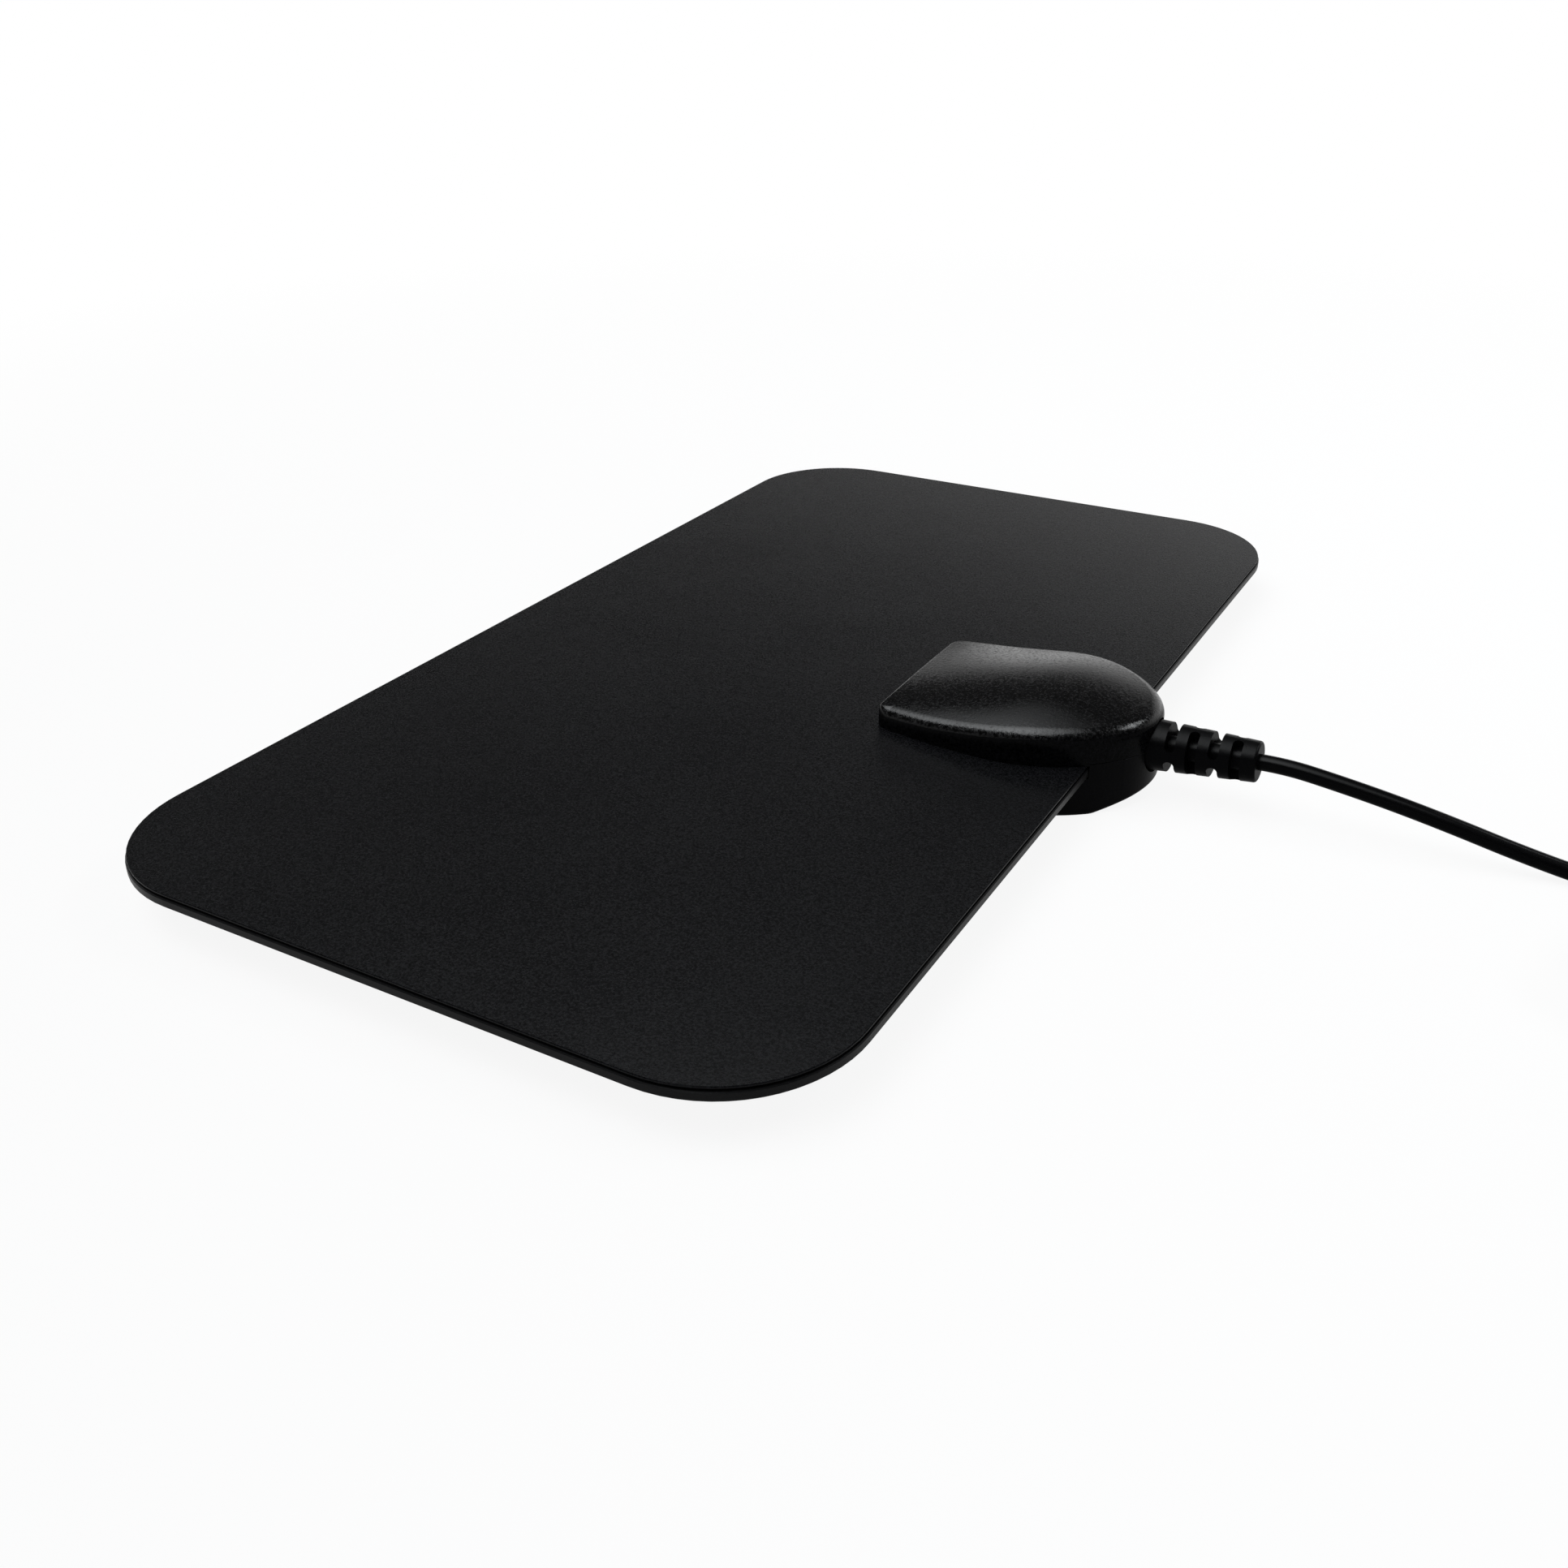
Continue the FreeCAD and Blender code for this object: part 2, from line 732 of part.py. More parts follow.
def strain_relief():
    """Tapered sleeve moulded on the cord, held by a neck and a flange in the nose wall.

    The sleeve is tilted up a little from its seat. Its slots stand at the top and bottom and at
    the two sides by turns.
    """
    axis = V(1, 0, 0)
    tuck = relief_base_radius * math.tan(math.radians(relief_tilt))
    profile = [
        V(-2 * tuck, 0, 0),
        V(-2 * tuck, 0, relief_base_radius),
        V(0, 0, relief_base_radius),
        V(relief_length, 0, relief_end_radius),
        V(relief_length, 0, 0),
    ]
    face = Part.Face(Part.makePolygon(profile + profile[:1]))
    sleeve = Part.Solid(face.revolve(V(0, 0, 0), axis, 360).Shells[0])
    rim = [edge for edge in sleeve.Edges
           if abs(edge.BoundBox.XMin - relief_length) < 1e-4
           and edge.BoundBox.ZMax > relief_end_radius - 1e-3]
    sleeve = sleeve.makeFillet(relief_end_round, rim)
    cuts = []
    for index in range(slot_count):
        turn = 90 * (index % 2)
        cuts += relief_slot(slot_first + index * slot_pitch, turn)
    sleeve = sleeve.cut(cuts)
    sleeve.rotate(V(0, 0, 0), V(0, 1, 0), -relief_tilt)
    behind = relief_base_radius * 2
    sleeve = sleeve.cut(box_between(V(-behind, -behind, -behind), V(0, behind, behind)))
    neck = Part.makeCylinder(relief_neck_radius, relief_wall, V(-relief_wall, 0, 0), axis)
    flange = Part.makeCylinder(relief_flange_radius, relief_flange,
                               V(-relief_wall - relief_flange, 0, 0), axis)
    relief = fuse_all([sleeve, neck, flange])
    relief.translate(relief_origin)
    return relief.cut(cord_stub())


def stub_inner_x():
    """Where the cord's jacket ends inside the housing."""
    return relief_seat_x - relief_wall - relief_flange - cord_strip_length


def cord_stub():
    """The end of the cord's jacket inside the strain relief."""
    start = V(stub_inner_x(), 0, relief_origin.z)
    return tube([start, relief_origin, relief_end_point], cord_radius)


def rounded_path(points):
    """Straight runs joined by tangent arcs, each as large as its two runs allow.

    Returns the wire, and the radii of its arcs.
    """
    edges = []
    radii = []
    last = points[0]
    for before, point, after in zip(points, points[1:], points[2:]):
        back = before - point
        ahead = after - point
        cut = cord_arc_share * min(back.Length, ahead.Length)
        back.normalize()
        ahead.normalize()
        turn = math.pi - back.getAngle(ahead)
        radius = cut / math.tan(turn / 2)
        inward = back + ahead
        inward.normalize()
        start = point + back * cut
        end = point + ahead * cut
        middle = point + inward * (radius / math.cos(turn / 2) - radius)
        edges.append(Part.makeLine(last, start))
        edges.append(Part.Arc(start, middle, end).toShape())
        radii.append(radius)
        last = end
    edges.append(Part.makeLine(last, points[-1]))
    return Part.Wire(edges), radii


def tube(points, radius):
    """Round tube along a path of runs and arcs."""
    path, radii = rounded_path(points)
    section = Part.Wire(Part.makeCircle(radius, points[0], points[1] - points[0]))
    solid = path.makePipeShell([section], True, True)
    expected = math.pi * radius ** 2 * path.Length
    print("tube length %.1f, volume ratio %.5f, radii" % (path.Length, solid.Volume / expected),
          ["%.1f" % value for value in radii])
    return solid


def cord_core():
    """Insulated centre conductor, from the cut jacket up on to the board."""
    start = V(stub_inner_x(), 0, relief_origin.z)
    height = board_top + cord_core_radius
    bend_x = board_outer_x / 3
    return tube([
        start,
        start - V(cord_strip_length, 0, 0),
        V(bend_x, 0, height),
        V(board_outer_x - 2 * cord_diameter, 0, height),
    ], cord_core_radius)


def cord_braid():
    """Twisted end of the cord's screen, from the cut jacket to its pad on the board."""
    offset = cord_core_radius + cord_braid_radius
    start = V(stub_inner_x(), offset, relief_origin.z)
    height = board_top + cord_braid_radius
    pad_y = board_half_width / 2
    return tube([
        start,
        start - V(cord_strip_length, 0, 0),
        V(board_outer_x / 2, (offset + pad_y) / 2, height + cord_braid_radius / 2),
        V(board_outer_x - cord_diameter, pad_y, height),
    ], cord_braid_radius)


def ring_section(grow):
    """Section of the coil with cut corners, grown by a thickness all round."""
    half = coil_ring_width / 2
    cut = coil_ring_chamfer
    inner = coil_mean_radius - half
    outer = coil_mean_radius + half
    low = tie_thickness
    high = coil_top
    points = [
        V(inner + cut, low, 0), V(outer - cut, low, 0), V(outer, low + cut, 0), V(outer, high - cut, 0),
        V(outer - cut, high, 0), V(inner + cut, high, 0), V(inner, high - cut, 0), V(inner, low + cut, 0),
    ]
    wire = Part.makePolygon(points + points[:1])
    if grow:
        wire = wire.makeOffset2D(grow, 2)
    face = Part.Face(wire)
    face.rotate(V(0, 0, 0), V(1, 0, 0), 90)
    return face


def ring_sector(grow, start, sweep):
    """The coil's section turned about the coil's axis from one angle over another."""
    face = ring_section(grow)
    face.rotate(V(0, 0, 0), V(0, 0, 1), start)
    solid = face.revolve(V(0, 0, 0), V(0, 0, 1), sweep)
    solid.translate(coil_centre)
    return solid


def cord_coil():
    """Outer shape of the stored turns."""
    return Part.Solid(ring_sector(0, 0, 360).Shells[0])


def coil_tie():
    """Strap closed round the turns at one place."""
    start = tie_place_angle - tie_angle / 2
    return ring_sector(tie_thickness, start, tie_angle).cut(cord_coil())


def cord_lead():
    """Free stretch of the cord, from the strain relief to the coil."""
    return tube(lead_route, cord_radius).cut(cord_coil())


def cord_tail():
    """Short stretch of the cord, from the coil to the plug."""
    return tube(tail_route, cord_radius).cut(cord_coil())


def plug_turned(profile):
    """Turned piece of the plug from (distance, radius) pairs, laid along -Y from the plug's rear."""
    points = [V(x, 0, radius) for x, radius in profile]
    face = Part.Face(Part.makePolygon(points + points[:1]))
    solid = Part.Solid(face.revolve(V(0, 0, 0), V(1, 0, 0), 360).Shells[0])
    return solid


def plug_placed(solid):
    """Move a piece from the plug's own axis to where the plug lies."""
    solid.rotate(V(0, 0, 0), V(0, 0, 1), -90)
    solid.translate(plug_rear)
    return solid


def plug_front():
    """Distance from the plug's rear to the front face of its grip."""
    return plug_neck_length + plug_shoulder + plug_grip_length


def plug_grip():
    """Moulded grip with a tapered neck, finger grooves and a seat for the sleeve."""
    front = plug_front()
    seat = front - sleeve_seat
    shoulder = plug_neck_length + plug_shoulder
    body = plug_turned([
        (0, 0),
        (0, plug_neck_radius),
        (plug_neck_length, plug_neck_radius + plug_groove_depth),
        (shoulder, plug_grip_radius),
        (front, plug_grip_radius),
        (front, sleeve_radius + sleeve_collar),
        (seat, sleeve_radius + sleeve_collar),
        (seat, pin_radius),
        (seat - pin_seat, pin_radius),
        (seat - pin_seat, 0),
    ])
    rim = [edge for edge in body.Edges
           if abs(edge.BoundBox.XMin - front) < 1e-4 and abs(edge.BoundBox.XMax - front) < 1e-4
           and edge.BoundBox.ZMax > plug_grip_radius - 1e-3]
    body = body.makeChamfer(plug_edge_chamfer, rim)
    spacing = plug_grip_length / (plug_groove_count + 1)
    grooves = []
    for index in range(plug_groove_count):
        x = shoulder + spacing * (index + 1) - plug_groove_width / 2
        outer = Part.makeCylinder(plug_grip_radius * 2, plug_groove_width, V(x, 0, 0), V(1, 0, 0))
        inner = Part.makeCylinder(plug_grip_radius - plug_groove_depth, plug_groove_width,
                                  V(x, 0, 0), V(1, 0, 0))
        grooves.append(outer.cut(inner))
    return plug_placed(body.cut(grooves))


def plug_sleeve():
    """Outer metal contact, a thin tube with a collar seated in the grip."""
    front = plug_front()
    start = front - sleeve_seat
    end = front + sleeve_reach
    inner = sleeve_radius - sleeve_wall
    lead_in = sleeve_wall / 2
    return plug_placed(plug_turned([
        (start, inner),
        (start, sleeve_radius + sleeve_collar),
        (front, sleeve_radius + sleeve_collar),
        (front, sleeve_radius),
        (end - lead_in, sleeve_radius),
        (end, sleeve_radius - lead_in),
        (end, inner),
    ]))


def plug_insulator():
    """Disc inside the sleeve that carries the pin."""
    start = plug_front() - sleeve_seat
    end = start + insulator_thickness
    radius = sleeve_radius - sleeve_wall
    return plug_placed(plug_turned([
        (start, pin_radius), (start, radius), (end, radius), (end, pin_radius),
    ]))


def plug_pin():
    """Centre contact with a round tip."""
    start = plug_front() - sleeve_seat - pin_seat
    end = plug_front() + sleeve_reach - pin_setback
    pin = Part.makeCylinder(pin_radius, end - start, V(start, 0, 0), V(1, 0, 0))
    tip = [edge for edge in pin.Edges if abs(edge.BoundBox.XMin - end) < 1e-4]
    return plug_placed(pin.makeFillet(pin_tip_round, tip))


PIECES = {
    "front_cover": front_cover,
    "back_cover": back_cover,
    "antenna_film": antenna_film,
    "foil_elements": foil_elements,
    "upper_shell": upper_shell,
    "lower_shell": lower_shell,
    "housing_screws": housing_screws,
    "matching_board": matching_board,
    "balun_core": balun_core,
    "balun_winding": balun_winding,
    "board_chips": board_chips,
    "contact_springs": contact_springs,
    "strain_relief": strain_relief,
    "cord_stub": cord_stub,
    "cord_core": cord_core,
    "cord_braid": cord_braid,
    "cord_lead": cord_lead,
    "cord_coil": cord_coil,
    "cord_tail": cord_tail,
    "coil_tie": coil_tie,
    "plug_grip": plug_grip,
    "plug_sleeve": plug_sleeve,
    "plug_insulator": plug_insulator,
    "plug_pin": plug_pin,
}


def main():
    os.makedirs("parts", exist_ok=True)
    for name, make in PIECES.items():
        shape = make()
        shape.exportStep(os.path.join("parts", name + ".step"))
        print(name, "solids", len(shape.Solids), "valid", shape.isValid(), "volume %.1f" % shape.Volume)


main()
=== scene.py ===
"""Studio scene of a flat indoor TV antenna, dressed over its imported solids.

Every object is in metres, in the frame of the solids: +Z up, +Y along the panel's long edges and
+X towards the cord. The floor is at the housing's flat base.
"""

import logging
import math
from collections.abc import Mapping, Sequence
from dataclasses import dataclass
from enum import Enum
from typing import Any, Union

import bpy
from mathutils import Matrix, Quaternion, Vector


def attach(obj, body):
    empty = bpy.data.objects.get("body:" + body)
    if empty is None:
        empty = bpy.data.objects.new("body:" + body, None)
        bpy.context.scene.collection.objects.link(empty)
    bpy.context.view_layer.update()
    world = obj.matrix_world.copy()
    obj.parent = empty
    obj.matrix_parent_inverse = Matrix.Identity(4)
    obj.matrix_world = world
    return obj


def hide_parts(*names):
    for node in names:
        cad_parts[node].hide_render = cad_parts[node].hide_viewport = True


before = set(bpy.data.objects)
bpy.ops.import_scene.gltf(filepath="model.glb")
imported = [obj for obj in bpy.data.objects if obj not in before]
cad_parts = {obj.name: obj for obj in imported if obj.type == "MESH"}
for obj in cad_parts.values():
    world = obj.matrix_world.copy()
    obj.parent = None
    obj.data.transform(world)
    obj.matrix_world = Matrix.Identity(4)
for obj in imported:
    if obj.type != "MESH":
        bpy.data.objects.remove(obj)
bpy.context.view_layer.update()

MM = 0.001
ROOT_BODY = "root"
Colour = tuple[float, float, float]
Point = tuple[float, float, float]
BLACK: Colour = (0.0, 0.0, 0.0)
WHITE: Colour = (1.0, 1.0, 1.0)
COOL_WHITE: Colour = (0.95, 0.98, 1.0)
HALF = 0.5
NOISE_MEAN = 0.5
LINE_STRETCH = 0.04
EVEN_SPREAD = 180.0
SIGHT_AXIS: Point = (0.0, 0.0, 1.0)
LEVEL_FACES = (0.45, 0.7)

log = logging.getLogger("antenna")


class Field:
    """A shader socket that takes part in Python expressions."""

    def __init__(self, graph: "Graph", socket: bpy.types.NodeSocket) -> None:
        """Wrap a socket of a graph.

        Args:
            graph: The graph that the socket's node is in.
            socket: The output socket.
        """
        self.graph = graph
        self.socket = socket

    def _maths(self, operation: str, first: "Value", second: "Value") -> "Field":
        """Add a Math node.

        Args:
            operation: The node's operation.
            first: The first operand.
            second: The second operand.

        Returns:
            The node's result.
        """
        made = self.graph.node("ShaderNodeMath", {"operation": operation}, {0: first, 1: second})
        return Field(self.graph, made.outputs[0])

    def __add__(self, other: "Value") -> "Field":
        """Sum."""
        return self._maths("ADD", self, other)

    def __radd__(self, other: "Value") -> "Field":
        """Reflected sum."""
        return self._maths("ADD", other, self)

    def __sub__(self, other: "Value") -> "Field":
        """Difference."""
        return self._maths("SUBTRACT", self, other)

    def __rsub__(self, other: "Value") -> "Field":
        """Reflected difference."""
        return self._maths("SUBTRACT", other, self)

    def __mul__(self, other: "Value") -> "Field":
        """Product."""
        return self._maths("MULTIPLY", self, other)

    def __rmul__(self, other: "Value") -> "Field":
        """Reflected product."""
        return self._maths("MULTIPLY", other, self)

    def __truediv__(self, other: "Value") -> "Field":
        """Quotient."""
        return self._maths("DIVIDE", self, other)

    def __rtruediv__(self, other: "Value") -> "Field":
        """Reflected quotient."""
        return self._maths("DIVIDE", other, self)

    def __pow__(self, other: "Value") -> "Field":
        """Power."""
        return self._maths("POWER", self, other)

    def __rpow__(self, other: "Value") -> "Field":
        """Reflected power."""
        return self._maths("POWER", other, self)

    def at_most(self, limit: "Value") -> "Field":
        """The smaller of this and a limit."""
        return self._maths("MINIMUM", self, limit)

    def at_least(self, limit: "Value") -> "Field":
        """The larger of this and a limit."""
        return self._maths("MAXIMUM", self, limit)

    def folded(self, reach: "Value") -> "Field":
        """This, running to and fro between 0 and a reach."""
        return self._maths("PINGPONG", self, reach)

    def clamped(self) -> "Field":
        """This, held between 0 and 1."""
        return self.at_least(0.0).at_most(1.0)

    def ramp(self, start: float, gain: float) -> "Field":
        """What this has above a start, times a gain, held between 0 and 1."""
        return ((self - start) * gain).clamped()

    def between(self, start: float, end: float) -> "Field":
        """How far this has come from a start to an end, from 0 to 1."""
        return ((self - start) / (end - start)).clamped()

    def below(self, edge: "Value", softness: float) -> "Field":
        """1 where this is below an edge, 0 above it, and both mixed across the edge's softness."""
        return ((edge - self) / softness + HALF).clamped()


Value = Union[Field, float]


class Graph:
    """The nodes of one material or world.

    Attributes:
        MIX_SHARE: A Mix node's factor, by number, since its sockets share their names.
        MIX_FIRST: Its first colour.
        MIX_SECOND: Its second colour.
        MIX_RESULT: The blended colour among its outputs.
    """

    MIX_SHARE = 0
    MIX_FIRST = 6
    MIX_SECOND = 7
    MIX_RESULT = 2

    def __init__(self, tree: bpy.types.NodeTree) -> None:
        """Start with an empty tree.

        Args:
            tree: The node tree to fill.
        """
        self.tree = tree
        tree.nodes.clear()

    def node(
        self,
        kind: str,
        settings: Mapping[str, Any] | None = None,
        sockets: Mapping[str | int, Any] | None = None,
    ) -> bpy.types.Node:
        """Add a node.

        Args:
            kind: The node's type.
            settings: Its settings, which are set first.
            sockets: The values or links of its inputs, by name or number.

        Returns:
            The new node.
        """
        made = self.tree.nodes.new(kind)
        for name, value in (settings or {}).items():
            setattr(made, name, value)
        for key, value in (sockets or {}).items():
            if isinstance(value, Field):
                self.tree.links.new(value.socket, made.inputs[key])
            else:
                made.inputs[key].default_value = value
        return made

    def field(
        self,
        kind: str,
        output: str | int = 0,
        settings: Mapping[str, Any] | None = None,
        sockets: Mapping[str | int, Any] | None = None,
    ) -> Field:
        """Add a node and take one of its outputs.

        Args:
            kind: The node's type.
            output: The output's name or number.
            settings: Its settings.
            sockets: The values or links of its inputs.

        Returns:
            The output as a field.
        """
        return Field(self, self.node(kind, settings, sockets).outputs[output])

    def place(self) -> Field:
        """The shaded point in the part's own frame, in metres."""
        return self.field("ShaderNodeTexCoord", "Object")

    def axes(self, vector: Field) -> tuple[Field, Field, Field]:
        """Split a vector.

        Args:
            vector: The vector to split.

        Returns:
            Its X, Y and Z.
        """
        split = self.node("ShaderNodeSeparateXYZ", None, {0: vector})
        x, y, z = (Field(self, output) for output in split.outputs)
        return x, y, z

    def stretched(self, vector: Field, scale: Point) -> Field:
        """A vector times one number for each axis.

        Args:
            vector: The vector.
            scale: The three numbers.

        Returns:
            The stretched vector.
        """
        return self.field("ShaderNodeVectorMath", 0, {"operation": "MULTIPLY"}, {0: vector, 1: scale})

    def noise(self, vector: Field, size: float, detail: float) -> Field:
        """Soft noise from 0 to 1.

        Args:
            vector: Where it is read.
            size: The size of its lumps in metres.
            detail: How many finer layers it has.

        Returns:
            The noise.
        """
        sockets = {"Vector": vector, "Scale": 1.0 / size, "Detail": detail}
        return self.field("ShaderNodeTexNoise", "Fac", None, sockets)

    def cells(self, vector: Field, size: float) -> Field:
        """Distance to the middle of the nearest of many small cells.

        Args:
            vector: Where it is read.
            size: The size of the cells in metres.

        Returns:
            The distance, about 0 to 1.
        """
        sockets = {"Vector": vector, "Scale": 1.0 / size}
        return self.field("ShaderNodeTexVoronoi", "Distance", None, sockets)

    def mix(self, share: Value, first: Colour, second: Colour) -> Field:
        """Blend two colours.

        Args:
            share: How much of the second there is.
            first: The first colour.
            second: The second colour.

        Returns:
            The blended colour.
        """
        sockets = {
            self.MIX_SHARE: share,
            self.MIX_FIRST: (*first, 1.0),
            self.MIX_SECOND: (*second, 1.0),
        }
        return self.field("ShaderNodeMix", self.MIX_RESULT, {"data_type": "RGBA"}, sockets)

    def bump(self, height: Field, depth: float) -> Field:
        """A normal from a height.

        Args:
            height: The height, where 1 is the depth.
            depth: How deep a height of 1 is, in metres.

        Returns:
            The bumped normal.
        """
        return self.field("ShaderNodeBump", 0, None, {"Height": height, "Distance": depth})

    def upward(self, low: float, high: float) -> Field:
        """How much a face looks up, from 0 to 1.

        Args:
            low: The upward part of the normal where it begins.
            high: The upward part of the normal where it is full.

        Returns:
            The share.
        """
        _, _, up = self.axes(self.field("ShaderNodeTexCoord", "Normal"))
        return up.between(low, high)

    def skin(
        self,
        sockets: Mapping[str | int, Any],
        painted_shade_side_gloss: float | None = None,
        level: tuple[float, float] = LEVEL_FACES,
    ) -> None:
        """End a material in one principled shader, or in two where the sides get a copy that mirrors less
        than the top: painted shade, so that walls show less of the white floor.

        Args:
            sockets: The shader's values and links.
            painted_shade_side_gloss: How strongly the sides mirror in their painted-shade copy, if they
                have one.
            level: From where to where a face counts as level, by its normal's height.
        """
        shader = self.field("ShaderNodeBsdfPrincipled", 0, None, sockets)
        # Painted shade: the sides get a copy that mirrors less, so walls show less of the white floor
        # than the tops.
        if painted_shade_side_gloss is not None:
            dull = {**sockets, "Specular IOR Level": painted_shade_side_gloss}
            side = self.field("ShaderNodeBsdfPrincipled", 0, None, dull)
            share = self.upward(*level)
            shader = self.field("ShaderNodeMixShader", 0, None, {0: share, 1: side, 2: shader})
        self.node("ShaderNodeOutputMaterial", None, {"Surface": shader})


class Finish:
    """What every finish of the antenna can do."""

    name: str

    def paint(self, graph: Graph) -> None:
        """Fill a material's graph.

        Args:
            graph: The empty graph.
        """
        raise NotImplementedError

    def material(self) -> bpy.types.Material:
        """The finish's material, made when first asked for."""
        known = bpy.data.materials.get(self.name)
        if known is not None:
            return known
        made = bpy.data.materials.new(self.name)
        made.use_nodes = True
        self.paint(Graph(made.node_tree))
        return made


@dataclass(frozen=True)
class GrainedPlastic(Finish):
    """Moulded plastic with a fine spark-eroded grain.

    Attributes:
        name: The material's name.
        colour: Its colour.
        roughness: Its mean roughness.
        grain_size: The size of the grain in metres.
        grain_depth: The depth of the grain in metres.
        gloss: How strongly it mirrors, where 0.5 is plain smooth plastic.
        painted_shade_side_gloss: How strongly its sides mirror, if they get a copy that mirrors less,
            which paints shade on them.
        fleck: How much the grain changes the colour, as a share of it.
        speckle: How much the grain changes the roughness.
        mottle: How much slow patches change the roughness.
        mottle_size: The size of those patches in metres.
        roll: How far the face rolls off towards its near side, in metres.
        roll_reach: How far from the middle line that is, in metres.
        dip: How far the face dips towards its straight end, in metres.
        dip_start: Where along the part that dip begins, in metres.
        dip_reach: How long the dip is, in metres.
        level: From where to where a face counts as level, by its normal's height.
        finer: How many times smaller the fine grain is than the coarse.
        coarse_share: How much of the grain is coarse.
        fleck_start: The grain's height where the light flecks begin.
        fleck_gain: How fast they come in above it.
        roll_power: How suddenly the roll sets in.
        dip_power: How suddenly the dip sets in.
    """

    name: str
    colour: Colour
    roughness: float
    grain_size: float
    grain_depth: float
    gloss: float = 0.5
    painted_shade_side_gloss: float | None = None
    fleck: float = 0.25
    speckle: float = 0.12
    mottle: float = 0.04
    mottle_size: float = 30 * MM
    roll: float = 0.0
    roll_reach: float = 28 * MM
    dip: float = 0.0
    dip_start: float = -36 * MM
    dip_reach: float = 18 * MM
    level: tuple[float, float] = LEVEL_FACES
    finer: float = 2.3
    coarse_share: float = 0.6
    fleck_start: float = 0.35
    fleck_gain: float = 3.3
    roll_power: float = 3.0
    dip_power: float = 2.0

    def paint(self, graph: Graph) -> None:
        """Grain, roll and dip as bump, flecks in the colour, grain and slow patches in the roughness."""
        place = graph.place()
        coarse = graph.noise(place, self.grain_size, detail=1.0)
        fine = graph.noise(place, self.grain_size / self.finer, detail=1.0)
        grain = coarse * self.coarse_share + fine * (1 - self.coarse_share)
        patches = graph.noise(place, self.mottle_size, detail=3.0)
        dark = tuple(channel * (1 - self.fleck) for channel in self.colour)
        light = tuple(channel * (1 + self.fleck) for channel in self.colour)
        flecks = grain.ramp(self.fleck_start, self.fleck_gain)
        mottled = self.roughness + (patches - NOISE_MEAN) * (2 * self.mottle)
        height = grain * self.grain_depth
        if self.roll or self.dip:
            across, along, _ = graph.axes(place)
            off_middle = (along / -self.roll_reach).at_least(0.0)
            past_start = ((self.dip_start - across) / self.dip_reach).at_least(0.0)
            height = height - off_middle ** self.roll_power * self.roll
            height = height - past_start ** self.dip_power * self.dip
        # Where painted_shade_side_gloss is given, the skin paints shade on the sides with a copy that
        # mirrors less.
        graph.skin({
            "Base Color": graph.mix(flecks, dark, light),
            "Roughness": mottled + (grain - NOISE_MEAN) * self.speckle,
            "Specular IOR Level": self.gloss,
            "Normal": graph.bump(height, depth=1.0),
        }, self.painted_shade_side_gloss, self.level)


@dataclass(frozen=True)
class SoftMoulding(Finish):
    """Matte flexible plastic, slightly uneven, with handling marks that shine.

    Attributes:
        name: The material's name.
        colour: Its colour.
        roughness: Its mean roughness.
        ripple_size: The size of its unevenness in metres.
        ripple_depth: The depth of its unevenness in metres.
        gloss: How strongly it mirrors, where 0.5 is plain smooth plastic.
        painted_shade_side_gloss: How strongly its sides mirror, if they get a copy that mirrors less,
            which paints shade on them.
        shine: How much smoother the rubbed places are.
        rub_scale: How many ripples wide a rubbed place is.
        rub_mean: The share of rubbing at which the roughness stays as given.
        dust: How many times lighter the dusty places are.
        dust_gain: How fast the dust comes in.
        ripple_rough: How much the ripples change the roughness.
    """

    name: str
    colour: Colour
    roughness: float
    ripple_size: float = 1.2 * MM
    ripple_depth: float = 0.02 * MM
    gloss: float = 0.5
    painted_shade_side_gloss: float | None = 0.03
    shine: float = 0.12
    rub_scale: float = 9.0
    rub_mean: float = 0.4
    dust: float = 1.5
    dust_gain: float = 1.6
    ripple_rough: float = 0.1

    def paint(self, graph: Graph) -> None:
        """Ripples as bump, and rubbed patches in the roughness and colour."""
        place = graph.place()
        ripple = graph.noise(place, self.ripple_size, detail=3.0)
        rubbed = graph.noise(place, self.rub_scale * self.ripple_size, detail=2.0)
        dusty = tuple(channel * self.dust for channel in self.colour)
        worn = self.roughness - (rubbed - self.rub_mean) * self.shine
        # Where painted_shade_side_gloss is given, the skin paints shade on the sides with a copy that
        # mirrors less.
        graph.skin({
            "Base Color": graph.mix((rubbed * ripple * self.dust_gain).at_most(1.0), self.colour, dusty),
            "Roughness": worn + (ripple - NOISE_MEAN) * self.ripple_rough,
            "Specular IOR Level": self.gloss,
            "Normal": graph.bump(ripple, self.ripple_depth),
        }, self.painted_shade_side_gloss)


class Lie(Enum):
    """Which way the fine lines of a worked metal run."""

    ALONG_X = (LINE_STRETCH, 1.0, 1.0)
    ALONG_Y = (1.0, LINE_STRETCH, 1.0)
    NONE = (1.0, 1.0, 1.0)


